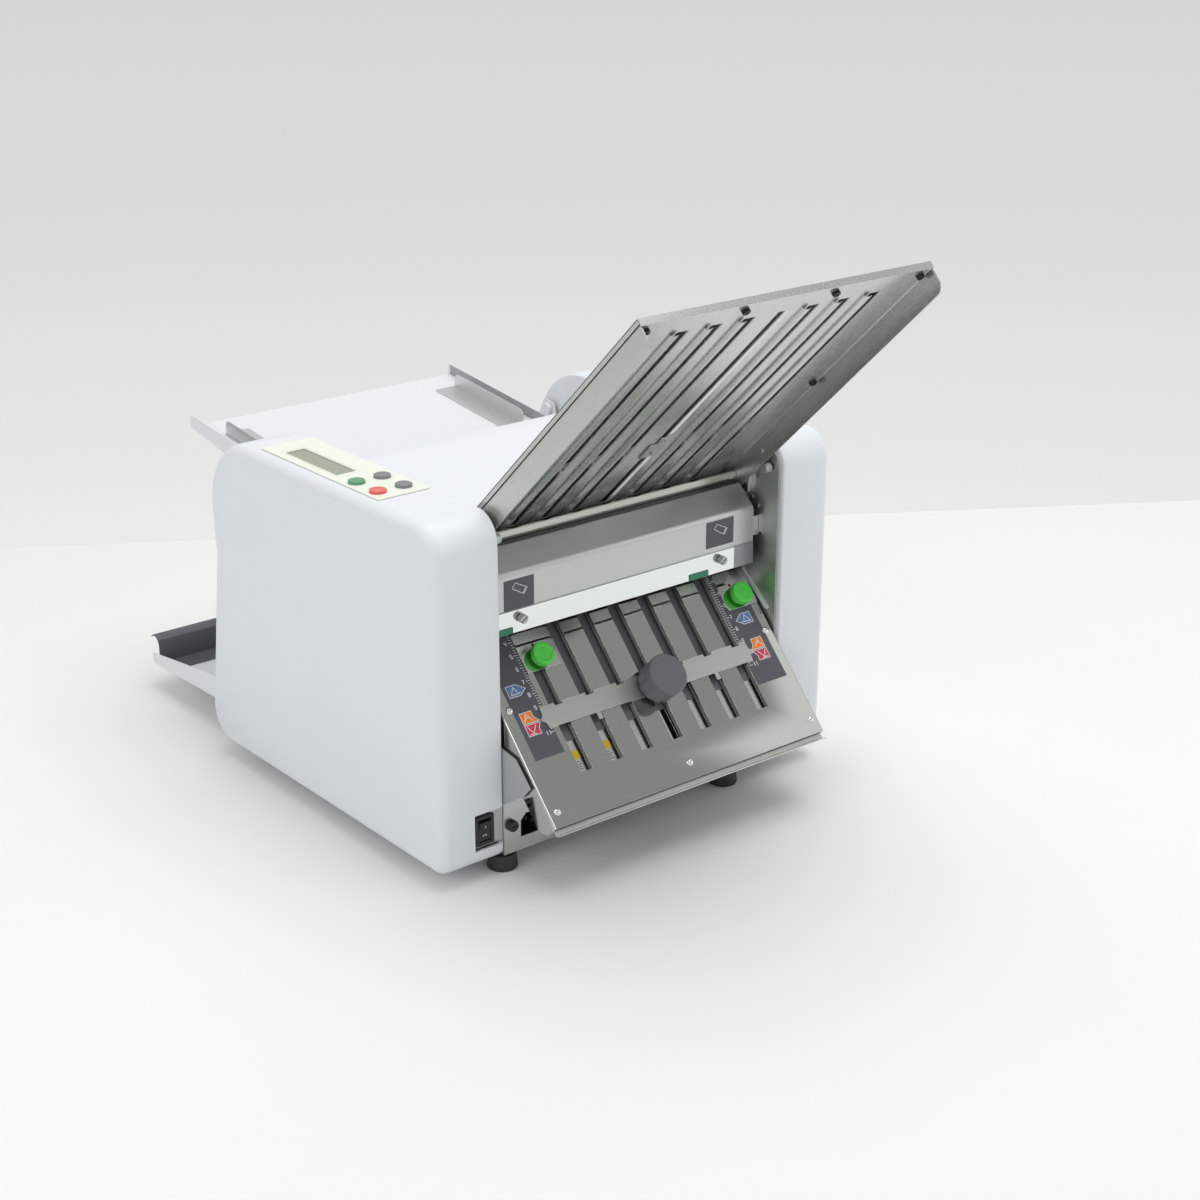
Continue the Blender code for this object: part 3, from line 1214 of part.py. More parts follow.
def lobed_circle(radius, lobes, depth):
    """Grip outline: flats between shallow grooves."""
    outline = []
    for lobe in range(lobes):
        for share, reach in zip(KNOB_LOBE_SHARES, (radius, radius, radius - depth, radius - depth)):
            turn = 2 * pi * (lobe + share) / lobes
            outline.append((reach * cos(turn), reach * sin(turn)))
    return outline


def stop_knob(name, at, stud_depth):
    """Grey grip knob on a neck, with a stud that reaches down to the stop bar."""
    neck = KNOB_NECK_HEIGHT
    top = neck + KNOB_HEIGHT
    edge = KNOB_EDGE
    rings = []
    grip = lobed_circle(KNOB_RADIUS, KNOB_LOBES, KNOB_LOBE_DEPTH)
    crown = circle(0, 0, KNOB_RADIUS - KNOB_LOBE_DEPTH, len(grip))
    neck_ring = circle(0, 0, KNOB_NECK_RADIUS, len(grip))
    cap = circle(0, 0, KNOB_RADIUS - KNOB_LOBE_DEPTH - edge, len(grip))
    for outline, height in ((neck_ring, 0), (neck_ring, neck), (grip, neck), (grip, top - KNOB_HEIGHT / 3),
                            (crown, top - edge), (cap, top)):
        rings.append([(u, v, height) for u, v in outline])
    knob = piece(name, loft(rings), at, "knob_grey")
    stud = slab(circle(0, 0, KNOB_STUD_RADIUS, 10), -stud_depth, stud_depth + neck / 2)
    fuse(knob, stud, at)


def make_upper_stop():
    middle = UPPER_CENTRE_X
    gap_middle = -SHEET - UPPER_GAP / 2
    low = gap_middle - UPPER_BAR_SHEET / 2
    bar = slab(rectangle(-UPPER_BAR_HALF, UPPER_BAR_HALF, UPPER_BAR_FOOT, UPPER_BAR_TOP), low,
               UPPER_BAR_SHEET)
    stop = piece("upper_stop_bar", bar, UPPER, "brushed_steel")
    half = UPPER_TOOTH_WIDTH / 2
    foot = UPPER_BAR_FOOT + UPPER_TOOTH_LENGTH / 2
    teeth = []
    for x in slot_centres(middle):
        if abs(x) > UPPER_BAR_HALF - half or x == middle:
            continue
        shift = x + UPPER_SLOT_WIDTH / 4
        teeth.append(block((shift - half, foot, low + UPPER_BAR_SHEET / 2),
                           (shift + half, foot + UPPER_TOOTH_LENGTH, UPPER_TOOTH_PROUD)))
    pin = UPPER_SLIT_WIDTH / 2 - SEAT_GAP * 2
    for along in (CLAMP_FOOT + CLAMP_WIDTH / 3, CLAMP_TOP - CLAMP_WIDTH):
        teeth.append(block((middle - pin, along, low + UPPER_BAR_SHEET / 2),
                           (middle + pin, along + UPPER_TOOTH_LENGTH / 2, CLAMP_SHEET / 2)))
    fuse(stop, together(*teeth), UPPER)
    wide = CLAMP_WIDTH / 2
    sheet = CLAMP_SHEET
    outline = ((middle - wide, CLAMP_FOOT), (middle + wide, CLAMP_FOOT), (middle + wide, CLAMP_TOP - wide),
               (middle + wide / 3, CLAMP_TOP - wide), (middle + wide / 3, CLAMP_TOP),
               (middle - wide / 3, CLAMP_TOP), (middle - wide / 3, CLAMP_TOP - wide),
               (middle - wide, CLAMP_TOP - wide))
    fuse(stop, slab(outline, SEAT_GAP, sheet), UPPER)
    screw = slab(circle(middle, CLAMP_FOOT + wide, CLAMP_SCREW_RADIUS, 10), SEAT_GAP + sheet / 2,
                 CLAMP_SCREW_HEIGHT)
    fuse(stop, screw, UPPER)
    back = -2 * SHEET - UPPER_GAP - SEAT_GAP
    along = (UPPER_BAR_FOOT + UPPER_BAR_TOP) / 2
    flip = Matrix.Rotation(pi, 4, "Y")
    at = UPPER @ Matrix.Translation((middle, along, back)) @ flip
    stop_knob("upper_stop_knob", at, low - back - SEAT_GAP)


# Lower fold plate

def make_lower_plate():
    half = LOWER_HALF
    slots = []
    for x in slot_centres(LOWER_CENTRE_X):
        wide = LOWER_SLOT_WIDTH / 2
        slots.append(rectangle(x - wide, x + wide, LOWER_SLOT_START, LOWER_SLOT_END))
    bore = LOWER_SCREW_SHANK + SEAT_GAP
    top = slab(rectangle(-half, half, 0, LOWER_LENGTH), -SHEET, SHEET, slots)
    plate = piece("lower_plate_top", top, LOWER, "brushed_steel")
    flange = ((0, 0), (LOWER_LENGTH, 0), (LOWER_LENGTH, -LOWER_FLANGE),
              (LOWER_FLANGE_TAPER, -LOWER_FLANGE), (0, -LOWER_FLANGE + LOWER_FLANGE_TAPER))
    for start in (-half, half - SHEET):
        fuse(plate, moved(slab(flange, start, SHEET), SIDEWAYS), LOWER)
    back_face = -SHEET - LOWER_GAP
    inner = half - SHEET - SEAT_GAP
    middle = back_face - SHEET / 2
    path = ((-LOWER_LIP - SHEET, middle + LOWER_LIP), (-LOWER_LIP, middle),
            (LOWER_LENGTH - LOWER_LIP, middle), (LOWER_LENGTH, middle - LOWER_LIP / 2))
    under = slab(bent_sheet(path, SHEET), -inner, 2 * inner)
    below = piece("lower_plate_bottom", moved(under, SIDEWAYS), LOWER, "brushed_steel")
    cutters = [slab(circle(x, y, bore, 8), back_face - 2 * SHEET, 3 * SHEET) for x, y in LOWER_SCREW_PLACES]
    slot_middle = LOWER_CENTRE_X
    room = KNOB_STUD_RADIUS + SEAT_GAP * 2
    cutters.append(slab(rectangle(slot_middle - room, slot_middle + room, LOWER_SLOT_START, LOWER_SLOT_END),
                        back_face - 2 * SHEET, 3 * SHEET))
    cut(below, together(*cutters), LOWER)
    radius = LOWER_SCREW_RADIUS
    tail = back_face - SHEET - SEAT_GAP
    sleeve = bore + SHEET
    profile = ((0, tail - SHEET), (radius, tail - SHEET), (radius, tail), (LOWER_SCREW_SHANK, tail),
               (LOWER_SCREW_SHANK, back_face + SEAT_GAP), (sleeve, back_face + SEAT_GAP),
               (sleeve, -SHEET / 2), (radius, -SHEET / 2), (radius * HEAD_EDGE_SHARE, LOWER_SCREW_HEAD),
               (0, LOWER_SCREW_HEAD))
    screws = [moved(turned(profile, 8), Matrix.Translation((x, y, 0))) for x, y in LOWER_SCREW_PLACES]
    fuse(plate, together(*screws), LOWER)


def make_lower_stop():
    middle = LOWER_CENTRE_X
    sheet = LOWER_BAR_SHEET
    base = SCALE_ROOM
    half = LOWER_BAR_HALF
    foot = LOWER_BAR_FOOT
    top = LOWER_BAR_TOP
    point = LOWER_BAR_POINT
    blade = LOWER_BAR_POINT_WIDTH / 2
    centre = (foot + top) / 2
    outline = [(-half + point, foot), (half - point, foot), (half - point, centre - blade), (half, centre),
               (half - point, centre + blade), (half - point, top), (-half + point, top),
               (-half + point, centre + blade), (-half, centre), (-half + point, centre - blade)]
    stop = piece("lower_stop_bar", slab(outline, base, sheet), LOWER, "brushed_steel")
    slots = slot_centres(middle)
    notch = LOWER_BAR_NOTCH
    notches = [block((x - LOWER_SLOT_WIDTH / 2, top - notch, base - OVERRUN / 2),
                     (x + LOWER_SLOT_WIDTH / 2, top + OVERRUN, base + sheet + OVERRUN))
               for x in slots if abs(x) < half - LOWER_SLOT_WIDTH and x != middle]
    cut(stop, together(*notches), LOWER)
    wide = LOWER_TONGUE_WIDTH / 2
    tongue_top = top - notch - LOWER_BAR_SHEET
    deep = -SHEET - LOWER_GAP + SEAT_GAP * 2
    tongues = [block((x - wide, tongue_top - LOWER_BAR_SHEET, deep), (x + wide, tongue_top, base + sheet / 2))
               for x in slots if abs(x) < half - LOWER_SLOT_WIDTH and x != middle]
    hooks = [block((x - wide, foot - LOWER_BAR_HOOK, base), (x + wide, foot + OVERRUN, base + sheet))
             for x in (slots[1], slots[5])]
    fuse(stop, together(*tongues, *hooks), LOWER)
    spot = Matrix.Translation((middle, LOWER_KNOB_ALONG, base + sheet + SEAT_GAP))
    bore = KNOB_STUD_RADIUS + SEAT_GAP
    cut(stop, slab(circle(middle, LOWER_KNOB_ALONG, bore, 10), base - OVERRUN, sheet + 2 * OVERRUN), LOWER)
    reach = base + sheet + SEAT_GAP + SHEET + LOWER_GAP / 2
    stop_knob("lower_stop_knob", LOWER @ spot, reach)


def make_plate_brackets():
    base = SCALE_ROOM
    sheet = BRACKET_SHEET
    radius = GREEN_KNOB_RADIUS
    stud = GREEN_KNOB_STUD
    height = GREEN_KNOB_HEIGHT
    ring = GREEN_KNOB_RING
    dish = GREEN_KNOB_DISH
    depth = base + sheet
    rim = radius * GREEN_KNOB_RIM_SHARE
    edge = height * GREEN_KNOB_EDGE_SHARE
    profile = ((0, -depth), (stud, -depth), (stud, 0), (rim, 0), (radius, edge), (radius, height - edge),
               (rim, height), (ring, height), (ring, height - dish), (0, height - dish))
    along = BRACKET_ALONG
    for side, x in (("left", LEFT_BRACKET), ("right", RIGHT_BRACKET)):
        half = BRACKET_WIDTH / 2
        reach = BRACKET_LENGTH / 2
        run = BRACKET_SLOT / 2
        slot = stadium((x, GREEN_KNOB_ALONG - run), (x, GREEN_KNOB_ALONG + run), stud + SEAT_GAP, 3)
        outline = rectangle(x - half, x + half, along - reach, along + reach, BRACKET_CORNER)
        piece(f"{side}_slide_bracket", slab(outline, base, sheet, [slot]), LOWER, "polished_strip")
        at = LOWER @ Matrix.Translation((x, GREEN_KNOB_ALONG, base + sheet + SEAT_GAP))
        piece(f"{side}_green_knob", turned(profile, 18), at, "bright_green")


# Feed table and delivery tray

def make_feed_table():
    half = TABLE_HALF
    floor = slab(rectangle(-half + SHEET / 2, half - SHEET / 2, TABLE_START, TABLE_END - TABLE_TIP_RADIUS),
                 TABLE_FLOOR, SHEET)
    table = piece("feed_table", floor, TABLE, "white_plastic")
    ear = TABLE_EAR_HALF
    tip = TABLE_TIP_RADIUS
    wall = rounded(((TABLE_START, TABLE_WALL_FOOT, 0), (ear, TABLE_WALL_FOOT, tip),
                    (TABLE_END, TABLE_FLOOR - SHEET, tip), (TABLE_END, TABLE_WALL_TOP, tip),
                    (ear, TABLE_WALL_TOP, tip), (TABLE_EAR_RADIUS, TABLE_EAR_RADIUS, tip),
                    (-TABLE_EAR_RADIUS, TABLE_EAR_RADIUS, tip), (-ear, TABLE_WALL_TOP, tip),
                    (TABLE_START, TABLE_WALL_TOP, 0)), steps=3)
    pin_hole = circle(0, 0, PIVOT_PIN_RADIUS + SEAT_GAP, 12)
    for start in (-half, half - SHEET):
        fuse(table, moved(slab(wall, start, SHEET, [pin_hole]), SIDEWAYS), TABLE)
    head = PIVOT_BUSH_RADIUS
    for name, side in (("left_pivot_bush", -1), ("right_pivot_bush", 1)):
        outer = COVER_INNER - SEAT_GAP
        inner = half - SHEET - SEAT_GAP
        profile = ((0, outer), (PIVOT_PIN_RADIUS, outer), (PIVOT_PIN_RADIUS, inner), (head, inner),
                   (head, inner - PIVOT_BUSH_LENGTH), (0, inner - PIVOT_BUSH_LENGTH))
        signed = [(radius, side * out) for radius, out in profile]
        piece(name, turned(signed, 16), axle(0, TABLE_PIVOT_Y, TABLE_PIVOT_Z), "white_plastic")
    surface = TABLE_FLOOR + SHEET + SEAT_GAP
    for name, side in (("left_side_guide", -1), ("right_side_guide", 1)):
        wall_x = side * GUIDE_PLACE
        base_x = wall_x - side * GUIDE_BASE
        low, high = sorted((wall_x, base_x))
        base = slab(rectangle(low, high, GUIDE_START, GUIDE_END, GUIDE_CORNER), surface, SHEET)
        guide = piece(name, base, TABLE, "brushed_steel")
        ends = sorted((wall_x, wall_x - side * SHEET))
        upright = rounded(((GUIDE_START, surface, 0), (GUIDE_END, surface, 0),
                           (GUIDE_END, surface + GUIDE_HEIGHT, GUIDE_HEIGHT / 3),
                           (GUIDE_START, surface + GUIDE_HEIGHT, GUIDE_HEIGHT / 2)), steps=3)
        fuse(guide, moved(slab(upright, ends[0], ends[1] - ends[0]), SIDEWAYS), TABLE)


def make_delivery_tray():
    sheet = SHEET
    slope = (TRAY_FLOOR_REAR - TRAY_FLOOR_FRONT) / (TRAY_REAR - TRAY_FRONT)
    angle = atan2(slope, 1)
    at = incline(TRAY_FRONT, TRAY_FLOOR_FRONT, angle)
    length = hypot(TRAY_REAR - TRAY_FRONT, TRAY_FLOOR_REAR - TRAY_FLOOR_FRONT)
    tongue = TRAY_TONGUE_FRONT - TRAY_FRONT
    half = TRAY_HALF
    inner = TRAY_TONGUE_HALF
    outline = [(-inner, tongue), (inner, tongue), (inner, 0), (half, 0), (half, length), (-half, length),
               (-half, 0), (-inner, 0)]
    tray = piece("delivery_tray", slab(outline, 0, sheet), at, "white_plastic")
    front_rise = TRAY_WALL_FRONT - TRAY_FLOOR_FRONT
    rear_rise = TRAY_WALL_REAR - TRAY_FLOOR_REAR
    wall = ((0, 0), (length, 0), (length, rear_rise), (0, front_rise))
    for start in (-half, half - sheet):
        fuse(tray, moved(slab(wall, start, sheet), SIDEWAYS), at)
    foot = STOP_PLACE - TRAY_FRONT
    base = sheet + SEAT_GAP + sheet / 2
    curl = STOP_CURL_RADIUS
    path = [(foot - STOP_FOOT_LENGTH, base), (foot, base), (foot, base + STOP_RISE)]
    for step in range(1, ROUND_STEPS + 1):
        turn = pi - pi * STOP_CURL_SHARE * step / ROUND_STEPS
        path.append((foot + curl + curl * cos(turn), base + STOP_RISE + curl * sin(turn)))
    stop = slab(bent_sheet(path, sheet), -STOP_HALF, 2 * STOP_HALF)
    piece("delivery_stop", moved(stop, SIDEWAYS), at, "dark_sheet")


def stand_on_floor():
    """Move the machine so that its origin is the middle of its footprint on the floor."""
    bpy.context.view_layer.update()
    corners = []
    for made in bpy.data.objects:
        if made.type == "MESH" and not made.hide_render:
            corners += [made.matrix_world @ vert.co for vert in made.data.vertices]
    low = [min(corner[axis] for corner in corners) for axis in (0, 1, 2)]
    high = [max(corner[axis] for corner in corners) for axis in (0, 1, 2)]
    MACHINE.location = (-(low[0] + high[0]) / 2, -(low[1] + high[1]) / 2, -low[2])
    bpy.context.view_layer.update()


make_housings()
make_frames()
make_base()
make_rollers()
make_gears()
make_motor()
make_belts()
make_guides()
make_front_cover()
make_panel()
make_power_entry()
make_upper_plate()
make_upper_stop()
make_lower_plate()
make_lower_stop()
make_plate_brackets()
make_feed_table()
make_delivery_tray()
stand_on_floor()
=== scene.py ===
import json
from math import atan2, cos, hypot, pi, radians, sin, tan

import bmesh
import bpy
from mathutils import Matrix, Vector

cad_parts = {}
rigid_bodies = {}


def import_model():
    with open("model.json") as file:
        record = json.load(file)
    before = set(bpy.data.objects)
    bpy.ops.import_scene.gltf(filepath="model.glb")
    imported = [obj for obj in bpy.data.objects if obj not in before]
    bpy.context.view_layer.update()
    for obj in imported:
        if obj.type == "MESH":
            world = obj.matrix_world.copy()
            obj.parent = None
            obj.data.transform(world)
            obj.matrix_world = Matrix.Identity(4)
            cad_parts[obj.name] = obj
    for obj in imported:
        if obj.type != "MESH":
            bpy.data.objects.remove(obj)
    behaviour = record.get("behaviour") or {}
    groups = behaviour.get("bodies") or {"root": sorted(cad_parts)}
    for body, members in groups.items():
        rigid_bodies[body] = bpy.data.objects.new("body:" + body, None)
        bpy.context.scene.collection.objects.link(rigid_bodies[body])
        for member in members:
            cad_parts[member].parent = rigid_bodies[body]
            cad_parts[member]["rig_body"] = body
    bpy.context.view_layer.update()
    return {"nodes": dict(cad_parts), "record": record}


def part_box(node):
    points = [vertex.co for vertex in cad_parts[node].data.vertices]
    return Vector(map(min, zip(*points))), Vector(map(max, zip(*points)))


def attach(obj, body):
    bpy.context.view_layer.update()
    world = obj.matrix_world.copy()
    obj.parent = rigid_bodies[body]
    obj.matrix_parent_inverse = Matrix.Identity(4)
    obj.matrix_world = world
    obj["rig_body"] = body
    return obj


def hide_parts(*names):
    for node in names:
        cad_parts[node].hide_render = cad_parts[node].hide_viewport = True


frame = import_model()
NODES = frame["nodes"]
SLOTS = {row["node"]: row["material_slot"] for row in frame["record"]["subparts"]}
MM = 0.001

# Sizes shared by many pieces, in metres
SEAT_GAP = 0.0003
SHEET = 0.0012
FRAME_SHEET = 0.002
GAP_HALF = 0.1715
COVER_INNER = GAP_HALF + FRAME_SHEET + SEAT_GAP
LEFT_WIDTH = 0.0716
RIGHT_WIDTH = 0.0658
COVER_HEIGHT = 0.339
SLOT_PITCH = 0.0371

# The work frame: x = 0 midway between the side frames, y = 0 at the housings' front, z = 0 at their foot
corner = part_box("left_side_cover")[0]
ORIGIN = Vector((corner.x + COVER_INNER + LEFT_WIDTH, corner.y, corner.z))
WORK = Matrix.Translation(ORIGIN)


def incline(y, z, angle):
    """Frame of a tilted sheet: x stays +X, y climbs along the sheet and z stands out of it."""
    return WORK @ Matrix.Translation((0, y, z)) @ Matrix.Rotation(angle, 4, "X")


def across(x):
    """Local x runs back, local y up and local z along +X."""
    return WORK @ Matrix.Translation((x, 0, 0)) @ SIDEWAYS


def facing(y):
    """Local x runs along +X, local y up and local z to the front."""
    return WORK @ Matrix.Translation((0, y, 0)) @ Matrix.Rotation(pi / 2, 4, "X")


def axle(x, y, z):
    """Local z runs along +X, as a shaft does."""
    return WORK @ Matrix.Translation((x, y, z)) @ Matrix.Rotation(pi / 2, 4, "Y")


SIDEWAYS = Matrix(((0, 0, 1, 0), (1, 0, 0, 0), (0, 1, 0, 0), (0, 0, 0, 1)))
UPPER_ANGLE = radians(136)
LOWER_ANGLE = radians(47)
UPPER = incline(0.071, 0.297, UPPER_ANGLE)
LOWER = incline(-0.0735, 0.058, LOWER_ANGLE)
TABLE = incline(0.369, 0.292, radians(6.8))


# Outlines and solids

def rounded(corners, inset=0.0, steps=8):
    """Outline with rounded corners; a corner is (u, v, radius)."""
    points = [Vector((u, v)) for u, v, _ in corners]
    count = len(points)
    outline = []
    for index, (_, _, radius) in enumerate(corners):
        here = points[index]
        back = (points[index - 1] - here).normalized()
        ahead = (points[(index + 1) % count] - here).normalized()
        side = 1 if (-back).cross(ahead) > 0 else -1
        half = back.angle(ahead) / 2
        middle = (back + ahead).normalized()
        spot = here + middle * (side * inset / sin(half))
        if radius == 0:
            outline.append(tuple(spot))
            continue
        bend = radius - side * inset
        centre = spot + middle * (bend / sin(half))
        first = spot + back * (bend / tan(half)) - centre
        sweep = side * (pi - 2 * half)
        for step in range(steps + 1):
            outline.append(tuple(centre + Matrix.Rotation(sweep * step / steps, 2) @ first))
    return outline


def rectangle(left, right, low, high, radius=0.0, steps=6):
    corners = ((left, low, radius), (right, low, radius), (right, high, radius), (left, high, radius))
    return rounded(corners, steps=steps)


def circle(u, v, radius, sides=40, phase=0.0):
    turns = [phase + 2 * pi * k / sides for k in range(sides)]
    return [(u + radius * cos(t), v + radius * sin(t)) for t in turns]


def stadium(start, end, radius, steps=16):
    heading = atan2(end[1] - start[1], end[0] - start[0])
    outline = []
    for centre, first in ((end, heading - pi / 2), (start, heading + pi / 2)):
        for step in range(steps + 1):
            turn = first + pi * step / steps
            outline.append((centre[0] + radius * cos(turn), centre[1] + radius * sin(turn)))
    return outline


def curved(path, radius, steps=5):
    """Open path with each inner corner turned into an arc."""
    points = [Vector(point) for point in path]
    smooth = [tuple(points[0])]
    for before, here, after in zip(points, points[1:], points[2:]):
        back = (before - here).normalized()
        ahead = (after - here).normalized()
        half = back.angle(ahead) / 2
        side = 1 if (-back).cross(ahead) > 0 else -1
        centre = here + (back + ahead).normalized() * (radius / sin(half))
        first = here + back * (radius / tan(half)) - centre
        sweep = side * (pi - 2 * half)
        for step in range(steps + 1):
            smooth.append(tuple(centre + Matrix.Rotation(sweep * step / steps, 2) @ first))
    return smooth + [tuple(points[-1])]


def bent_sheet(path, thickness):
    """Outline of a sheet of this thickness whose middle follows the path."""
    points = [Vector(point) for point in path]
    left, right = [], []
    for index, here in enumerate(points):
        before = (here - points[index - 1]).normalized() if index else None
        after = (points[index + 1] - here).normalized() if index + 1 < len(points) else None
        before = before or after
        after = after or before
        mean = (before + after).normalized()
        normal = Vector((-mean.y, mean.x))
        reach = thickness / 2 / mean.dot(after)
        left.append(tuple(here + normal * reach))
        right.append(tuple(here - normal * reach))
    return right + left[::-1]


def slab(outline, start, depth, holes=()):
    """Solid made by pushing a flat outline along its local z."""
    shape = bmesh.new()
    edges = []
    for loop in (outline, *holes):
        verts = [shape.verts.new((u, v, start)) for u, v in loop]
        edges += [shape.edges.new((verts[k - 1], verts[k])) for k in range(len(verts))]
    if holes:
        bmesh.ops.triangle_fill(shape, edges=edges, use_beauty=True, use_dissolve=False)
    else:
        shape.faces.new(shape.verts[:])
    grown = bmesh.ops.extrude_face_region(shape, geom=shape.faces[:])
    top = [item for item in grown["geom"] if isinstance(item, bmesh.types.BMVert)]
    bmesh.ops.translate(shape, verts=top, vec=(0, 0, depth))
    bmesh.ops.recalc_face_normals(shape, faces=shape.faces[:])
    return shape


def block(low, high):
    return slab(rectangle(low[0], high[0], low[1], high[1]), low[2], high[2] - low[2])


def turned(profile, sides=48):
    """Solid of revolution about local z; the profile is (radius, height) from end to end."""
    shape = bmesh.new()
    rows = []
    for radius, height in profile:
        if radius == 0:
            rows.append([shape.verts.new((0, 0, height))])
        else:
            rows.append([shape.verts.new((u, v, height)) for u, v in circle(0, 0, radius, sides)])
    for low, high in zip(rows, rows[1:]):
        for k in range(sides):
            face = [low[k % len(low)], low[(k + 1) % sides % len(low)],
                    high[(k + 1) % sides % len(high)], high[k % len(high)]]
            if len(set(face)) > 2:
                shape.faces.new(list(dict.fromkeys(face)))
    bmesh.ops.recalc_face_normals(shape, faces=shape.faces[:])
    return shape


def loft(rings):
    """Closed skin through rings of 3-D points with equal counts."""
    shape = bmesh.new()
    rows = [[shape.verts.new(point) for point in ring] for ring in rings]
    for low, high in zip(rows, rows[1:]):
        for k in range(len(low)):
            shape.faces.new((low[k - 1], low[k], high[k], high[k - 1]))
    shape.faces.new(rows[0])
    shape.faces.new(rows[-1])
    bmesh.ops.recalc_face_normals(shape, faces=shape.faces[:])
    return shape


def moved(shape, matrix):
    bmesh.ops.transform(shape, matrix=matrix, verts=shape.verts[:])
    if matrix.determinant() < 0:
        bmesh.ops.recalc_face_normals(shape, faces=shape.faces[:])
    return shape


def together(*shapes):
    whole = bmesh.new()
    for shape in shapes:
        carrier = bpy.data.meshes.new("carrier")
        shape.to_mesh(carrier)
        shape.free()
        whole.from_mesh(carrier)
        bpy.data.meshes.remove(carrier)
    return whole


def arc(radius, height, edge, steps=5, down=False):
    """Rounded edge of a turned profile, from the side up and in, or from the foot out and up."""
    turns = [pi / 2 * k / steps for k in range(steps + 1)]
    if down:
        return [(radius - edge * (1 - sin(t)), height + edge * (1 - cos(t))) for t in turns]
    return [(radius - edge * (1 - cos(t)), height - edge * (1 - sin(t))) for t in turns]


# Materials

def new_material(name, colour, roughness, metallic=0.0, coat=0.0):
    made = bpy.data.materials.new(name)
    made.use_nodes = True
    shader = made.node_tree.nodes["Principled BSDF"]
    shader.inputs["Base Color"].default_value = (*colour, 1)
    shader.inputs["Roughness"].default_value = roughness
    shader.inputs["Metallic"].default_value = metallic
    shader.inputs["Coat Weight"].default_value = coat
    return made, made.node_tree, shader


def mapped(tree, scale, rotation=(0, 0, 0)):
    """Object coordinates turned into a tilted sheet's own directions, then stretched."""
    place = tree.nodes.new("ShaderNodeTexCoord")
    turn = tree.nodes.new("ShaderNodeMapping")
    turn.inputs["Rotation"].default_value = rotation
    tree.links.new(place.outputs["Object"], turn.inputs["Vector"])
    stretch = tree.nodes.new("ShaderNodeMapping")
    stretch.inputs["Scale"].default_value = scale
    tree.links.new(turn.outputs["Vector"], stretch.inputs["Vector"])
    return stretch.outputs["Vector"]


def noise(tree, vector, scale, detail=4.0, roughness=0.55):
    made = tree.nodes.new("ShaderNodeTexNoise")
    made.inputs["Scale"].default_value = scale
    made.inputs["Detail"].default_value = detail
    made.inputs["Roughness"].default_value = roughness
    tree.links.new(vector, made.inputs["Vector"])
    return made.outputs["Fac"]


def spread(tree, value, low, high):
    made = tree.nodes.new("ShaderNodeMapRange")
    made.inputs["From Min"].default_value = 0.3
    made.inputs["From Max"].default_value = 0.7
    made.inputs["To Min"].default_value = low
    made.inputs["To Max"].default_value = high
    tree.links.new(value, made.inputs["Value"])
    return made.outputs["Result"]


def tint(tree, value, dark, light):
    made = tree.nodes.new("ShaderNodeMix")
    made.data_type = "RGBA"
    made.inputs["A"].default_value = (*dark, 1)
    made.inputs["B"].default_value = (*light, 1)
    tree.links.new(value, made.inputs["Factor"])
    return made.outputs["Result"]


def weighted(tree, first, second, share):
    """Weighted mean of two patterns."""
    part = tree.nodes.new("ShaderNodeMath")
    part.operation = "MULTIPLY"
    part.inputs[1].default_value = 1 - share
    tree.links.new(second, part.inputs[0])
    whole = tree.nodes.new("ShaderNodeMath")
    whole.operation = "MULTIPLY_ADD"
    whole.inputs[1].default_value = share
    tree.links.new(first, whole.inputs[0])
    tree.links.new(part.outputs["Value"], whole.inputs[2])
    return whole.outputs["Value"]


def bump(tree, shader, height, strength, distance):
    made = tree.nodes.new("ShaderNodeBump")
    made.inputs["Strength"].default_value = strength
    made.inputs["Distance"].default_value = distance
    tree.links.new(height, made.inputs["Height"])
    tree.links.new(made.outputs["Normal"], shader.inputs["Normal"])


def shades(colour, vary):
    return [c * (1 - vary) for c in colour], [min(1, c * (1 + vary)) for c in colour]


def moulded(name, colour, roughness, grain=1500, depth=0.00005, vary=0.03, coat=0.0):
    """Moulded plastic or paint: a fine grain, faint colour drift and uneven gloss."""
    made, tree, shader = new_material(name, colour, roughness, coat=coat)
    vector = mapped(tree, (1, 1, 1))
    drift = noise(tree, vector, 7, 2)
    fine = noise(tree, vector, grain, 3)
    dark, light = shades(colour, vary)
    tree.links.new(tint(tree, drift, dark, light), shader.inputs["Base Color"])
    tree.links.new(spread(tree, fine, roughness - 0.05, roughness + 0.06), shader.inputs["Roughness"])
    bump(tree, shader, fine, 0.35, depth)
    return made


def sheet_metal(name, colour, roughness, angle=0.0, along="x", vary=0.05, depth=0.000012, streak=0.5,
                metallic=1.0):
    """Rolled sheet: fine grain drawn out along one direction of a tilted sheet, and faint clouds."""
    made, tree, shader = new_material(name, colour, roughness, metallic)
    stretch = {"x": (40, 900, 900), "y": (900, 40, 900)}[along]
    lines = noise(tree, mapped(tree, stretch, (-angle, 0, 0)), 1.0, 3, 0.6)
    vector = mapped(tree, (1, 1, 1))
    cloud = noise(tree, vector, 16, 4)
    speck = noise(tree, vector, 2600, 2)
    mixed = weighted(tree, lines, weighted(tree, cloud, speck, 0.45), streak)
    dark, light = shades(colour, vary)
    tree.links.new(tint(tree, spread(tree, mixed, 0, 1), dark, light), shader.inputs["Base Color"])
    tree.links.new(spread(tree, mixed, roughness * 0.9, roughness * 1.12), shader.inputs["Roughness"])
    bump(tree, shader, weighted(tree, lines, speck, 0.6), 0.22, depth)
    return made


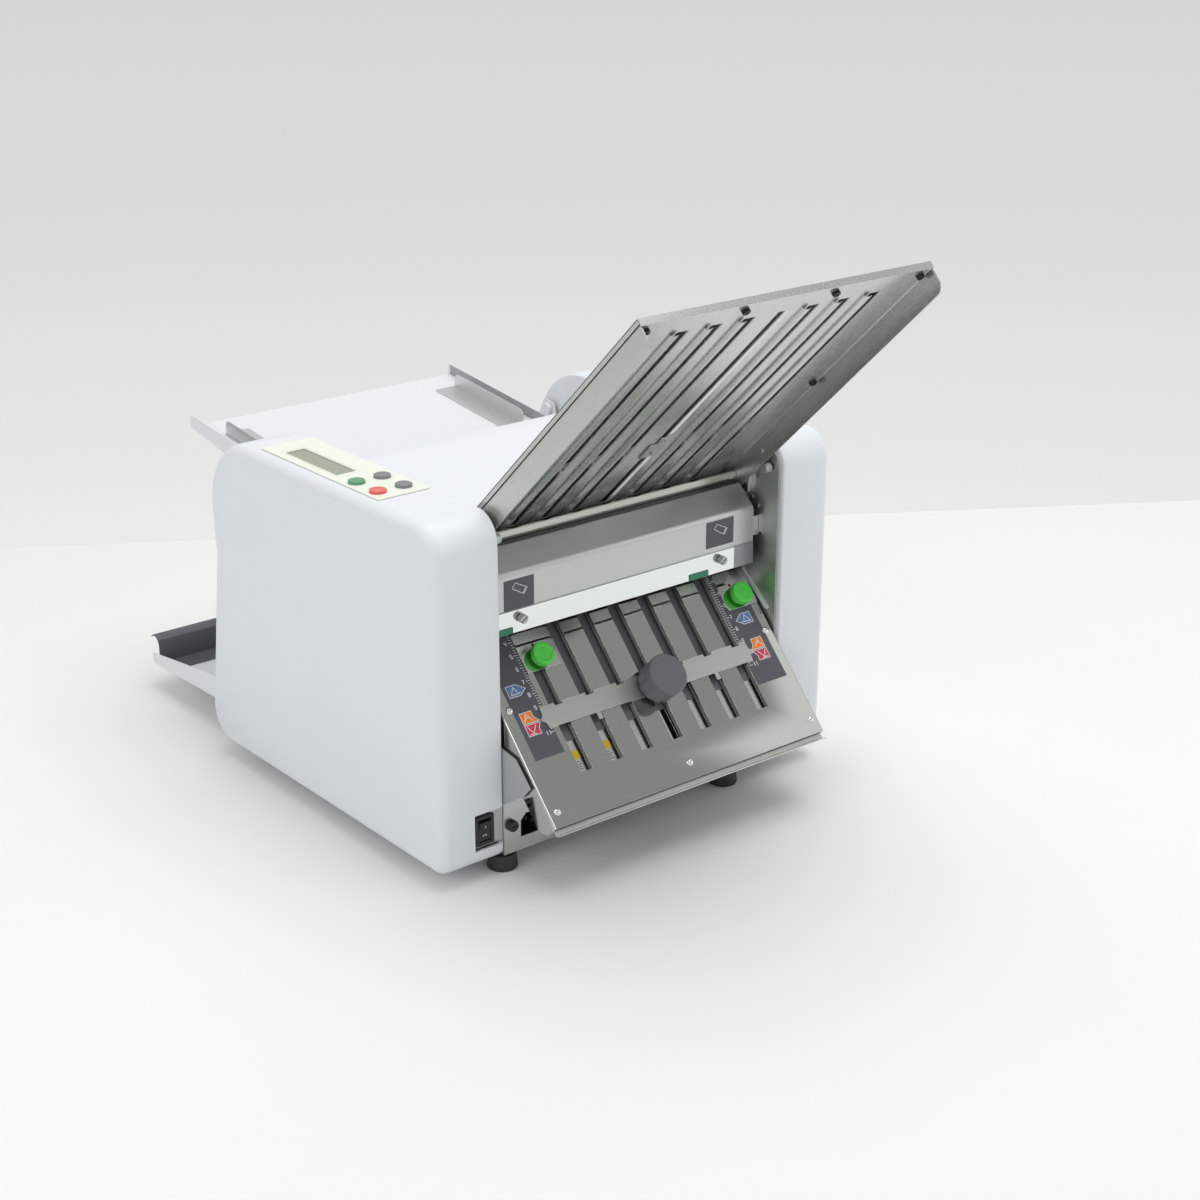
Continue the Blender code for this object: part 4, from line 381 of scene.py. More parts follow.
def rubbery(name, colour, roughness, grain=700, depth=0.0001):
    """Rubber with a coarse matt grain and a little dust."""
    made, tree, shader = new_material(name, colour, roughness)
    vector = mapped(tree, (1, 1, 1))
    fine = noise(tree, vector, grain, 5, 0.65)
    dust = noise(tree, vector, 30, 3)
    light = [min(1, c * 1.7 + 0.012) for c in colour]
    tree.links.new(tint(tree, spread(tree, dust, 0, 1), colour, light), shader.inputs["Base Color"])
    tree.links.new(spread(tree, fine, roughness - 0.08, roughness + 0.08), shader.inputs["Roughness"])
    bump(tree, shader, fine, 0.5, depth)
    return made


STEEL = (0.56, 0.575, 0.55)
WHITE = moulded("white_moulding", (0.735, 0.770, 0.800), 0.42, vary=0.008)
WHITE_SHEET = moulded("white_sheet", (0.74, 0.76, 0.775), 0.45, grain=2200, vary=0.012)
INNER_GREY = moulded("inner_grey", (0.36, 0.37, 0.375), 0.5, grain=2200, vary=0.03)
STEEL_UPPER = sheet_metal("steel_upper_plate", STEEL, 0.26, UPPER_ANGLE, "y", 0.012, 0.0, 0.8, 0.80)
STEEL_LOWER = sheet_metal("steel_lower_plate", STEEL, 0.085, LOWER_ANGLE, "x", 0.04, 0.000006, 0.3)
STEEL_BAR = sheet_metal("steel_stop_bar", (0.50, 0.525, 0.495), 0.46, LOWER_ANGLE, "x", 0.03, 0.000006, 0.6)
STEEL_INNER = sheet_metal("steel_inner_sheet", (0.60, 0.61, 0.58), 0.28, LOWER_ANGLE, "x", 0.03, 0.000005)
STEEL_BRIGHT = sheet_metal("bright_edge_strip", (0.52, 0.53, 0.48), 0.22, 0, "x", 0.04, 0.000004)
STEEL_FRAME = sheet_metal("steel_frame", (0.54, 0.57, 0.55), 0.45, 0, "x", 0.05)
STEEL_BASE = sheet_metal("steel_base", (0.62, 0.64, 0.63), 0.30, 0, "x", 0.05)
STEEL_GUIDE = sheet_metal("steel_guide", (0.70, 0.71, 0.70), 0.36, 0, "x", 0.03, 0.000004)
# Darker copy of the plate steel for the slot lips: painted shade on the walls inside the slots.
STEEL_LIP_SHADE = sheet_metal("steel_lip_painted_shade", (0.27, 0.28, 0.265), 0.3, LOWER_ANGLE, "y", 0.06, 0.000003)
ROLLER_COVER = sheet_metal("roller_cover_sheet", (0.54, 0.56, 0.555), 0.34, 0, "x", 0.02, 0.000004)
STRIP = sheet_metal("pale_strip", (0.79, 0.83, 0.815), 0.16, 0, "x", 0.015, 0.000004, 0.7)
POLISHED = sheet_metal("polished_bracket", (0.68, 0.69, 0.66), 0.05, LOWER_ANGLE, "y", 0.03, 0.000003)
ZINC = sheet_metal("zinc_plate", (0.78, 0.79, 0.77), 0.16, 0, "x", 0.06)
SCREW = sheet_metal("screw_steel", (0.40, 0.405, 0.39), 0.18, 0, "x", 0.12)
# Dark steel of screws and motor, also used as a painted reflection on the pale strip's right end.
DARK_STEEL_AND_REFLECTION = sheet_metal("dark_steel_and_painted_reflection", (0.30, 0.31, 0.32), 0.35, 0, "x")
BOLT_BLACK = sheet_metal("blackened_bolt", (0.05, 0.05, 0.048), 0.3, 0, "x", 0.15)
# Black plastic, also used as painted shade on the slot skins, the roller cover join and the frame hole.
BLACK = moulded("black_moulding_and_painted_shade", (0.018, 0.018, 0.02), 0.42, grain=1200, vary=0.1)
# Grey of the knobs, also used as the lighter band of painted shade in the lower slots.
KNOB_AND_SLOT_SHADE = moulded("knob_grey", (0.145, 0.155, 0.165), 0.50, grain=900, depth=0.00008, vary=0.05)
# Dark painted sheet of the delivery stop, also used as painted shade on the lower slot skins.
DARK_SHEET = moulded("dark_sheet_and_painted_shade", (0.10, 0.105, 0.115), 0.45, grain=1800, vary=0.06)
GREEN = moulded("bright_green", (0.085, 0.68, 0.065), 0.36, grain=1000, vary=0.05, coat=0.15)
DARK_GREEN = moulded("dark_green", (0.035, 0.20, 0.12), 0.5, vary=0.06)
LABEL = moulded("label_grey", (0.085, 0.088, 0.105), 0.42, grain=2500, vary=0.05)
# White print, also used as painted light on the slit bands and under the upper plate's low end.
PRINT_WHITE_AND_LIGHT = moulded("print_white_and_painted_light", (0.75, 0.76, 0.76), 0.5, grain=2500, vary=0.02)
PRINT_BLUE = moulded("print_blue", (0.12, 0.20, 0.42), 0.45, grain=2500, vary=0.04)
PRINT_ORANGE = moulded("print_orange", (0.85, 0.22, 0.02), 0.45, grain=2500, vary=0.04)
DOT_RED = moulded("dot_red", (0.16, 0.012, 0.016), 0.45, grain=2500, vary=0.04)
PRINT_RED = moulded("print_red", (0.58, 0.045, 0.09), 0.45, grain=2500, vary=0.04)
PRINT_YELLOW = moulded("print_yellow", (0.72, 0.50, 0.01), 0.45, grain=2500, vary=0.05)
PRINT_GREY = moulded("print_grey", (0.33, 0.36, 0.28), 0.5, grain=2500, vary=0.04)
PANEL = moulded("panel_cream", (0.785, 0.83, 0.735), 0.42, grain=2500, vary=0.01)
DISPLAY = moulded("display_olive", (0.265, 0.295, 0.21), 0.22, grain=600, depth=0.000002, vary=0.03, coat=0.5)
KEY_GREEN = moulded("key_green", (0.12, 0.31, 0.17), 0.42, vary=0.05)
KEY_RED = moulded("key_red", (0.74, 0.15, 0.12), 0.42, vary=0.05)
KEY_GREY = moulded("key_grey", (0.20, 0.21, 0.22), 0.42, vary=0.05)
RUBBER = rubbery("black_rubber", (0.013, 0.013, 0.013), 0.6)
ROLLER = rubbery("roller_rubber", (0.045, 0.047, 0.05), 0.62, 900, 0.00008)
GEAR = moulded("gear_nylon", (0.66, 0.66, 0.58), 0.45, grain=900, vary=0.03)


# Pieces

def soften(made, width, segments=2, angle=28):
    """Rounded edges from a bevel that follows the sharp ones."""
    edge = made.modifiers.new("edge", "BEVEL")
    edge.width = width
    edge.segments = segments
    edge.limit_method = "ANGLE"
    edge.angle_limit = radians(angle)
    edge.harden_normals = True
    edge.use_clamp_overlap = True


def piece(name, shape, at, finish, body, slot, bevel=0.0, segments=2, smooth=35):
    """A piece of the scene that rides on one body and takes the finish it is given; its slot argument is not used."""
    mesh = bpy.data.meshes.new(name)
    shape.to_mesh(mesh)
    shape.free()
    made = bpy.data.objects.new(name, mesh)
    bpy.context.scene.collection.objects.link(made)
    made.matrix_world = at
    mesh.materials.append(finish)
    mesh.shade_smooth()
    mesh.set_sharp_from_angle(angle=radians(smooth))
    if bevel:
        soften(made, bevel, segments)
    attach(made, body)
    return made


def stand_in(node, shape, at, finish, **more):
    """A fine piece that stands for one CAD node, on its body."""
    made = piece(node + "_fine", shape, at, finish, NODES[node]["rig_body"], SLOTS[node], **more)
    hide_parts(node)
    DRESSED.add(node)
    return made


def extra(name, carrier, shape, at, finish, **more):
    """Small trim that rides with the node that carries it."""
    return piece(name, shape, at, finish, NODES[carrier]["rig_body"], SLOTS[carrier], **more)


def dress(node, finish, width=0.0003, segments=2):
    """A CAD node with welded points, softened edges and a finish."""
    made = NODES[node]
    made.data.materials.clear()
    made.data.materials.append(finish)
    weld = made.modifiers.new("weld", "WELD")
    weld.merge_threshold = 0.000002
    flat = made.modifiers.new("flat", "DECIMATE")
    flat.decimate_type = "DISSOLVE"
    flat.angle_limit = radians(0.5)
    soften(made, width, segments)
    made.data.shade_smooth()
    level = made.modifiers.new("level", "WEIGHTED_NORMAL")
    level.weight = 100
    DRESSED.add(node)


def cut(target, shape, at, smooth=30):
    """Cuts a helper solid out of a piece and keeps the result as its mesh."""
    mesh = bpy.data.meshes.new(target.name + "_cutter")
    shape.to_mesh(mesh)
    shape.free()
    helper = bpy.data.objects.new(target.name + "_cutter", mesh)
    bpy.context.scene.collection.objects.link(helper)
    helper.matrix_world = at
    kept = [m for m in target.modifiers]
    modifier = target.modifiers.new("cut", "BOOLEAN")
    modifier.operation = "DIFFERENCE"
    modifier.object = helper
    modifier.solver = "EXACT"
    for other in kept:
        other.show_viewport = False
    bpy.context.view_layer.update()
    graph = bpy.context.evaluated_depsgraph_get()
    result = bpy.data.meshes.new_from_object(target.evaluated_get(graph))
    target.modifiers.remove(modifier)
    for other in kept:
        other.show_viewport = True
    target.data = result
    bpy.data.objects.remove(helper)
    result.shade_smooth()
    result.set_sharp_from_angle(angle=radians(smooth))


DRESSED = set()


# Housings and top cover

def cover_corners():
    return ((0, 0, 0.014), (0.424, 0, 0.035), (0.391, 0.208, 0.03), (0.397, COVER_HEIGHT, 0.076),
            (0, COVER_HEIGHT, 0.028))


def cover_opening(steps):
    return rounded(((0.02, 0.02, 0.008), (0.375, 0.02, 0.008), (0.368, 0.13, 0.008),
                    (0.262, 0.306, 0.008), (0.02, 0.306, 0.008)), steps=steps)


def housing(side, width):
    """Moulded shell with a rounded outer edge, open towards the side frame."""
    corners = cover_corners()
    edge, wall, rim, steps = 0.012, 0.003, 0.0025, 16
    hollow = edge - wall
    quarter = [pi / 2 * k / 12 for k in range(13)]
    outer = [(width - edge + edge * sin(t), rounded(corners, edge * (1 - cos(t)), steps))
             for t in reversed(quarter)]
    lip = [(rim * (1 - sin(t)), rounded(corners, rim * (1 - cos(t)), steps)) for t in quarter[::3]]
    inner = [(0, cover_opening(steps)), (wall, cover_opening(steps)), (wall, rounded(corners, wall, steps))]
    inner += [(width - edge + hollow * sin(t), rounded(corners, wall + hollow * (1 - cos(t)), steps))
              for t in quarter[::2]]
    inner += [(width - wall, rounded(corners, edge, steps))]
    rings = [[(side * (COVER_INNER + out), y, z) for y, z in outline] for out, outline in outer + lip + inner]
    return loft(rings)


def crease_wedge(side, width):
    """Wedge below a sweeping line on the outer face, fading out towards the front foot."""
    waist, foot = Vector((0.395, 0.208)), Vector((0.168, -0.004))
    square = Vector(((foot - waist).y, -(foot - waist).x)).normalized()
    sweep = []
    for step in range(41):
        share = step / 40
        sweep.append(waist.lerp(foot, share) - square * (0.03 * 4 * share * (1 - share)))
    outline = [(p.x, p.y) for p in sweep] + [(0.428, -0.004), (0.428, waist.y)]
    wedge = slab(outline, width, 0.004)
    for vert in wedge.verts:
        if vert.co.z < width + 0.002:
            vert.co.z = width - 0.0014 * max(vert.co.x - foot.x, 0) / (waist.x - foot.x)
    return moved(wedge, Matrix.Diagonal((1, 1, side, 1)))


BUTTON_COLUMNS = (-0.2219, -0.1939)
BUTTON_ROWS = (0.117, 0.152)
BUTTON_RADIUS = 0.008


def make_housings():
    left = stand_in("left_side_cover", housing(-1, LEFT_WIDTH), WORK, WHITE)
    right = stand_in("right_side_cover", housing(1, RIGHT_WIDTH), WORK, WHITE)
    cut(left, crease_wedge(-1, LEFT_WIDTH), across(-COVER_INNER))
    cut(right, crease_wedge(1, RIGHT_WIDTH), across(COVER_INNER))
    cut(left, block((-0.2065, -0.004, 0.0163), (-COVER_INNER + 0.004, 0.010, 0.0537)), WORK)
    holes = [slab(circle(x, y, BUTTON_RADIUS + SEAT_GAP), 0.330, 0.014)
             for x in BUTTON_COLUMNS for y in BUTTON_ROWS]
    cut(left, together(*holes), WORK)
    front, rear, top, sheet = 0.056, 0.246, 0.331, 0.003
    path = ((front, top - 0.007), (front, top - 0.002), (front + 0.02, top), (rear - 0.02, top),
            (rear, top - 0.002), (rear, top - 0.007))
    lowered = [(y, z - sheet / 2) for y, z in path]
    half = COVER_INNER - SEAT_GAP
    stand_in("top_cover", slab(bent_sheet(curved(lowered, 0.0016), sheet), -half, 2 * half), across(0), WHITE,
             bevel=0.0008, segments=3)


# Front roller cover with its printed plates, strip and screws

COVER_FACE = 0.030
STRIP_SHEET = 0.001


def knurled(radius, teeth, depth):
    """Outline of a knurled head."""
    outline = []
    for tooth in range(teeth):
        for share, reach in ((0.0, radius), (0.5, radius - depth)):
            turn = 2 * pi * (tooth + share) / teeth
            outline.append((reach * cos(turn), reach * sin(turn)))
    return outline


def thumb_screw(radius, height):
    """Knurled head with a groove below its smooth rim; make_front_cover cuts the slot across its top."""
    teeth = 28
    grip = knurled(radius, teeth, 0.00035)
    ring = circle(0, 0, 1, 2 * teeth)
    rings = []
    for outline, scale, level in ((ring, radius * 0.8, 0), (ring, radius * 0.8, 0.001), (grip, 1, 0.0012),
                                  (grip, 1, height * 0.62), (ring, radius * 0.86, height * 0.66),
                                  (ring, radius * 0.86, height * 0.76), (ring, radius * 0.97, height * 0.8),
                                  (ring, radius * 0.97, height * 0.93), (ring, radius * 0.88, height)):
        rings.append([(u * scale, v * scale, level) for u, v in outline])
    return loft(rings)


def make_front_cover():
    sheet = 0.0015
    middle = COVER_FACE + sheet / 2
    path = ((middle + 0.013, 0.209 + sheet / 2), (middle, 0.209 + sheet / 2), (middle, 0.266), (0.052, 0.286),
            (0.0585, 0.286))
    half = 0.163
    face, slant = (middle, 0.238), ((middle + 0.052) / 2, 0.276)
    bends = curved((path[0], path[1], face), 0.0022, 8)[:-1] + curved((face, path[2], slant), 0.008, 12)[1:-1]
    bends += curved((slant, path[3], path[4]), 0.0022, 8)[1:]
    stand_in("front_roller_cover", slab(bent_sheet(bends, sheet), -half, 2 * half), across(0), ROLLER_COVER,
             bevel=0.00025)
    for side, name in ((-1, "left"), (1, "right")):
        ends = sorted((side * (half - 0.004), side * (GAP_HALF - SEAT_GAP)))
        tab = block((ends[0], COVER_FACE + sheet, 0.236), (ends[1], COVER_FACE + 2 * sheet, 0.256))
        extra(name + "_cover_tab", "front_roller_cover", tab, WORK, STEEL_GUIDE, bevel=0.0002)
    back = COVER_FACE - SEAT_GAP
    strip = slab(rectangle(-0.162, 0.162, 0.2085, 0.2305, 0.0004), 0, STRIP_SHEET)
    stand_in("cover_strip", strip, facing(back), STRIP, bevel=0.0002)
    # Darker skin over the strip's right end: painted reflection of the housing's grey inner wall beside it.
    end = slab(rectangle(0.1365, 0.1621, 0.2084, 0.2306, 0.0004), STRIP_SHEET, 0.00012)
    extra("cover_strip_painted_reflection", "cover_strip", end, facing(back), DARK_STEEL_AND_REFLECTION)
    edge = [(0.0606, 0.2874), (0.0606, 0.2960), (0.0632, 0.2960)]
    low_edge = slab(bent_sheet(curved(edge, 0.0008), SHEET), -0.166, 0.332)
    extra("plate_edge_strip", "left_side_frame", low_edge, across(0), STEEL_BRIGHT, bevel=0.0002)
    # Black strip above the roller cover's top edge: painted shade standing in for the dark gap between the cover and
    # the plate edge strip.
    shade = block((-0.163, 0.0518, 0.28685), (0.163, 0.0600, 0.2871))
    extra("plate_edge_painted_shade", "left_side_frame", shade, WORK, BLACK)
    # White sheet between the plate edge strip and the upper plate's low end: painted light standing in for the bright
    # steel seen there.
    light_fill = block((-0.165, 0.0615, 0.2868), (0.165, 0.0780, 0.2874))
    extra("plate_edge_painted_light", "left_side_frame", light_fill, WORK, PRINT_WHITE_AND_LIGHT)
    head = back - STRIP_SHEET - SEAT_GAP
    for name, x in (("left_thumb_screw", -0.129), ("right_thumb_screw", 0.118)):
        at = facing(head) @ Matrix.Translation((x, 0.222, 0)) @ Matrix.Rotation(radians(35), 4, "Z")
        screw = stand_in(name, thumb_screw(0.0045, 0.006), at, SCREW, bevel=0.00012)
        slot = block((-0.0055, -0.00055, 0.0047), (0.0055, 0.00055, 0.007))
        cut(screw, slot, at)


def sheet_icon():
    """A tilted sheet of paper with its folded edge, drawn in thin bands."""
    line, skin = 0.0003, 0.00008
    corners = [Vector(spot) for spot in ((-0.0080, 0.0010), (0.0043, -0.0063), (0.0080, -0.0004), (-0.0042, 0.0057))]
    bands = [slab(stadium(start, end, line, 4), 0, skin) for start, end in zip(corners, corners[1:] + corners[:1])]
    fold = Vector((0.0013, -0.0004))
    bands.append(slab(stadium(corners[1] + fold, corners[2] + fold, line * 1.4, 4), 0, skin))
    return bands


def make_mode_plates():
    """Two dark plates on the roller cover, each with a sheet icon, and green tabs under them."""
    skin = 0.0002
    face = COVER_FACE - SEAT_GAP / 2
    for name, left, right, low, high in (("left", -0.147, -0.1125, 0.2311, 0.2605),
                                         ("right", 0.100, 0.136, 0.236, 0.263)):
        plate = slab(rectangle(left, right, low, high, 0.0004), -skin / 2, skin)
        extra(name + "_mode_plate", "front_roller_cover", plate, facing(face), LABEL)
        middle = Matrix.Translation(((left + right) / 2, high - 0.0095, skin / 2 + 0.00003))
        extra(name + "_mode_icon", "front_roller_cover", together(*sheet_icon()), facing(face) @ middle,
              PRINT_WHITE_AND_LIGHT)
    tab_face = COVER_FACE - SEAT_GAP - STRIP_SHEET - 0.00005
    for name, left, right in (("left", -0.1570, -0.1385), ("right", 0.0775, 0.1020)):
        tab = slab(rectangle(left, right, 0.2087, 0.2148, 0.0006), 0, 0.0009)
        extra(name + "_green_tab", "front_roller_cover", tab, facing(tab_face), DARK_GREEN, bevel=0.0002)


# Control panel, keys and power entry

PANEL_TOP = COVER_HEIGHT + SEAT_GAP + 0.0008
DISPLAY_MIDDLE = (-0.2134, 0.2275)


def make_panel():
    dress("control_panel", PANEL, 0.0002)
    x, y = DISPLAY_MIDDLE
    at = WORK @ Matrix.Translation((x, y, 0))
    base = COVER_HEIGHT + SEAT_GAP
    glass = slab(rectangle(-0.009, 0.009, -0.0435, 0.0435), base, 0.001)
    stand_in("display_window", glass, at, DISPLAY, bevel=0.00015)
    rim = slab(rectangle(-0.0103, 0.0103, -0.0448, 0.0448, 0.0006), base + 0.0007, 0.0006,
               [rectangle(-0.0082, 0.0082, -0.0427, 0.0427, 0.0003)])
    extra("display_rim", "control_panel", rim, at, PRINT_GREY, bevel=0.00015)
    line = 0.00025
    reach, side = 0.0500, 0.0130
    frame_line = slab(rectangle(-side, side, -reach, reach, 0.001), PANEL_TOP, 0.00006,
                      [rectangle(-side + line, side - line, -reach + line, reach - line, 0.0008)])
    extra("display_frame_line", "control_panel", frame_line, at, PRINT_GREY)
    keys = (("stop_button", KEY_RED), ("minus_button", KEY_GREY), ("start_button", KEY_GREEN),
            ("plus_button", KEY_GREY))
    spots = [(u, v) for v in BUTTON_ROWS for u in BUTTON_COLUMNS]
    top = 0.0041
    foot, ceiling = -0.0053, -0.0033
    radius = BUTTON_RADIUS
    profile = [(0, foot), (radius + 0.0015, foot), (radius + 0.0015, ceiling), (radius, ceiling)]
    profile += arc(radius, top, 0.0012, 6)
    profile += [(radius * 0.55, top - 0.0001), (radius * 0.25, top - 0.00025), (0, top - 0.0003)]
    for (name, finish), (u, v) in zip(keys, spots):
        stand_in(name, turned(profile, 56), WORK @ Matrix.Translation((u, v, COVER_HEIGHT)), finish)
    thin = 0.00006
    marks = []
    for (u, v), kind in zip(spots, ("square", "minus", "triangle", "plus")):
        mx, my, size = u - 0.0005, v + 0.0125, 0.0016
        if kind == "square":
            marks.append(slab(rectangle(mx - size, mx + size, my - size, my + size), PANEL_TOP, thin,
                              [rectangle(mx - 0.7 * size, mx + 0.7 * size, my - 0.7 * size, my + 0.7 * size)]))
        elif kind == "triangle":
            marks.append(slab([(mx - size, my - size), (mx + size, my), (mx - size, my + size)],
                              PANEL_TOP, thin))
        else:
            marks.append(slab(rectangle(mx - size, mx + size, my - size / 4, my + size / 4), PANEL_TOP, thin))
        if kind == "plus":
            marks.append(slab(rectangle(mx - size / 4, mx + size / 4, my + size / 4, my + size), PANEL_TOP, thin))
            marks.append(slab(rectangle(mx - size / 4, mx + size / 4, my - size, my - size / 4), PANEL_TOP, thin))
    extra("panel_marks", "control_panel", together(*marks), WORK, PRINT_GREY)


def make_power_entry():
    dress("switch_body", BLACK, 0.0004, 3)
    x, z, reach, proud, dish, depth = -0.194, 0.035, 0.0100, 0.0045, 0.0013, 0.005
    face = []
    for step in range(13):
        share = -1 + 2 * step / 12
        face.append((-proud + dish * (1 - share * share), share * reach))
    outline = [(depth / 2, -reach * 0.85), (depth, 0), (depth / 2, reach * 0.85)] + face[::-1]
    width = 0.0105 - 0.0035 - SEAT_GAP
    tilt = Matrix.Translation((x, 0.005, z)) @ Matrix.Rotation(radians(8), 4, "X") @ SIDEWAYS
    stand_in("power_rocker", slab(outline, -width, 2 * width), WORK @ tilt, BLACK, bevel=0.0005, segments=3)
    thin, size = 0.00008, 0.0021
    for name, mark, share in (("on", rectangle(-0.0004, 0.0004, -size, size), 0.52), ("off", None, -0.55)):
        level = share * reach
        face_y = -proud + dish * (1 - share * share)
        lean = atan2(-2 * dish * share / reach, 1)
        spot = WORK @ Matrix.Translation((x, 0.005, z)) @ Matrix.Rotation(radians(8), 4, "X")
        spot = spot @ Matrix.Translation((0, face_y - thin / 4, level)) @ Matrix.Rotation(pi / 2 + lean, 4, "X")
        if name == "on":
            shape = slab(mark, 0, thin)
        else:
            shape = slab(circle(0, 0, size, 28), 0, thin, [circle(0, 0, size * 0.62, 28)])
        extra("rocker_mark_" + name, "power_rocker", shape, spot, PRINT_WHITE_AND_LIGHT)
    dress("power_inlet", BLACK, 0.0004, 3)
    fuse = [(0, -0.016), (0.0045, -0.016), (0.0045, 0), (0.0055, 0)] + arc(0.0055, 0.005, 0.0009) + [(0, 0.005)]
    at = facing(0.004 - 0.001 - SEAT_GAP) @ Matrix.Translation((-0.163, 0.030, 0))
    cap = stand_in("fuse_holder", turned(fuse, 48), at, BLACK)
    cut(cap, block((-0.0032, -0.0005, 0.0038), (0.0032, 0.0005, 0.006)), at)


# Fold plates

def slot_centres(middle):
    return [middle + SLOT_PITCH * k for k in (-3, -2, -1, 0, 1, 2, 3)]


def hex_bolt(radius, height, socket):
    """Socket-head bolt: a cylinder with a round socket recess in its top."""
    profile = [(0, 0), (radius, 0)] + arc(radius, height, 0.0004, 3)
    profile += [(socket, height), (socket * 0.96, height * 0.4), (0, height * 0.4)]
    return turned(profile, 30)


UPPER_HALF = 0.1675
UPPER_START = -0.012
UPPER_END = 0.3535
UPPER_MIDDLE = 0.006
UPPER_GAP = 0.0032
UPPER_SLOT_LOW, UPPER_SLOT_HIGH = -0.007, 0.327


def upper_section(half):
    """Flat floor with a flange bent up at each side."""
    rise, bend = 0.023, 0.0022
    level = -SHEET / 2
    edge = half - SHEET / 2
    path = ((-edge, rise), (-edge, level), (edge, level), (edge, rise))
    return bent_sheet(curved(path, bend, 6), SHEET)


def pressed_rib(x):
    """Low arched rib along the left of a slot, with its open edge over the slot."""
    left, right, height, sheet = x - 0.0150, x - 0.0059, 0.0029, 0.0008
    path = [(left, -SHEET / 2)]
    for step in range(9):
        share = step / 8
        path.append((left + 0.0005 + (right - left - 0.0005) * share, height * sin(pi * (0.13 + 0.60 * share))))
    return slab(bent_sheet(path, sheet), UPPER_SLOT_LOW, UPPER_SLOT_HIGH - UPPER_SLOT_LOW)


def turned_lip(x):
    """Lip bent down along the right of a slot."""
    right = x + 0.0070
    path = ((right + 0.0008, -SHEET / 2), (right - 0.0004, -SHEET / 2), (right - 0.0004, -0.0018))
    return slab(bent_sheet(curved(path, 0.0003, 3), 0.0007), UPPER_SLOT_LOW, UPPER_SLOT_HIGH - UPPER_SLOT_LOW)


def make_upper_plate():
    turn = Matrix(((1, 0, 0, 0), (0, 0, 1, 0), (0, 1, 0, 0), (0, 0, 0, 1)))
    body = moved(slab(upper_section(UPPER_HALF), UPPER_START, UPPER_END - UPPER_START), turn)
    plate = stand_in("upper_plate_front", moved(body, UPPER), Matrix.Identity(4), STEEL_UPPER, bevel=0.0002)
    slots = []
    for x in slot_centres(UPPER_MIDDLE):
        left, right = (0.0045, 0.0030) if x == UPPER_MIDDLE else (0.007, 0.007)
        slots.append(slab(rectangle(x - left, x + right, UPPER_SLOT_LOW, UPPER_SLOT_HIGH, 0.001), -0.003, 0.006))
    cut(plate, together(*slots), UPPER)
    corner = 0.010
    for side in (-1, 1):
        for low, high in ((UPPER_START, UPPER_START + corner), (UPPER_END - corner, UPPER_END)):
            first = low == UPPER_START
            tip = low if first else high
            inner = high if first else low
            arc_points = [(tip, 0.023 + 0.001)]
            for step in range(9):
                t = pi / 2 * step / 8
                along = inner + (tip - inner) * sin(t)
                arc_points.append((along, 0.023 - corner + corner * cos(t)))
            arc_points.append((tip, 0.023 + 0.001))
            outline = [(inner, 0.0245)] + arc_points[1:-1] + [(tip + (tip - inner) * 0.1, 0.013),
                                                             (tip + (tip - inner) * 0.1, 0.0245)]
            start = side * UPPER_HALF - 0.004
            cut(plate, moved(slab(outline, start, 0.008), SIDEWAYS), UPPER)
    slotted = [x for x in slot_centres(UPPER_MIDDLE) if x != UPPER_MIDDLE]
    ribs = [moved(pressed_rib(x), turn) for x in slotted] + [moved(turned_lip(x), turn) for x in slotted]
    extra("upper_plate_ribs", "upper_plate_front", together(*ribs), UPPER, STEEL_UPPER, bevel=0.00015)
    places = [(x, 0.343) for x in (-0.156, -0.048, 0.056, 0.160)] + [(-0.160, 0.166), (0.160, 0.166)]
    for index, (x, v) in enumerate(places, start=1):
        at = UPPER @ Matrix.Translation((x, v, 0))
        extra(f"upper_bolt_{index}", "upper_plate_front", hex_bolt(0.0038, 0.0034, 0.0019), at, BOLT_BLACK)
        nut = turned([(0, 0), (0.0038, 0), (0.0038, 0.0019), (0.0034, 0.0022), (0, 0.0022)], 6)
        below = UPPER @ Matrix.Translation((x, v, -2 * SHEET - UPPER_GAP - SEAT_GAP)) @ Matrix.Rotation(pi, 4, "X")
        extra(f"upper_nut_{index}", "upper_plate_front", nut, below, ZINC, smooth=20)
    deep = -SHEET - UPPER_GAP + 0.00002
    skin = 0.0001
    # Black skins on the back plate under the slots: painted shade that makes the slots read dark.
    slot_shade_skins = [slab(rectangle(x - 0.0069, x + 0.0069, UPPER_SLOT_LOW, UPPER_SLOT_HIGH), deep, skin) for x in slotted]
    extra("upper_slot_painted_shade", "upper_plate_back", together(*slot_shade_skins), UPPER, BLACK)
    # Pale bands beside the middle slit: painted light standing in for the bright view through the slit.
    slit_light = [slab(rectangle(0.0092, 0.0148, low, high), 0, skin)
            for low, high in ((UPPER_SLOT_LOW, 0.080), (0.122, UPPER_SLOT_HIGH))]
    extra("upper_slit_painted_light", "upper_plate_front", together(*slit_light), UPPER, PRINT_WHITE_AND_LIGHT)
    for side, name in ((-1, "left"), (1, "right")):
        ends = sorted((side * UPPER_HALF, side * (UPPER_HALF - 0.0006)))
        edge = block((ends[0], UPPER_START, -2 * SHEET - UPPER_GAP), (ends[1], UPPER_END, -SHEET + 0.0002))
        extra(name + "_upper_plate_edge", "upper_plate_back", edge, UPPER, STEEL_UPPER)
    dress("upper_plate_back", STEEL_UPPER, 0.0002)
    dress("upper_stop_bar", STEEL_BAR, 0.0002)


def lobed(radius, lobes, depth, samples=6):
    """Grip outline with broad flats between soft grooves."""
    outline = []
    for k in range(lobes * samples):
        turn = 2 * pi * k / (lobes * samples)
        wave = 0.5 - 0.5 * cos(lobes * turn)
        outline.append(((radius - depth * wave ** 2) * cos(turn), (radius - depth * wave ** 2) * sin(turn)))
    return outline


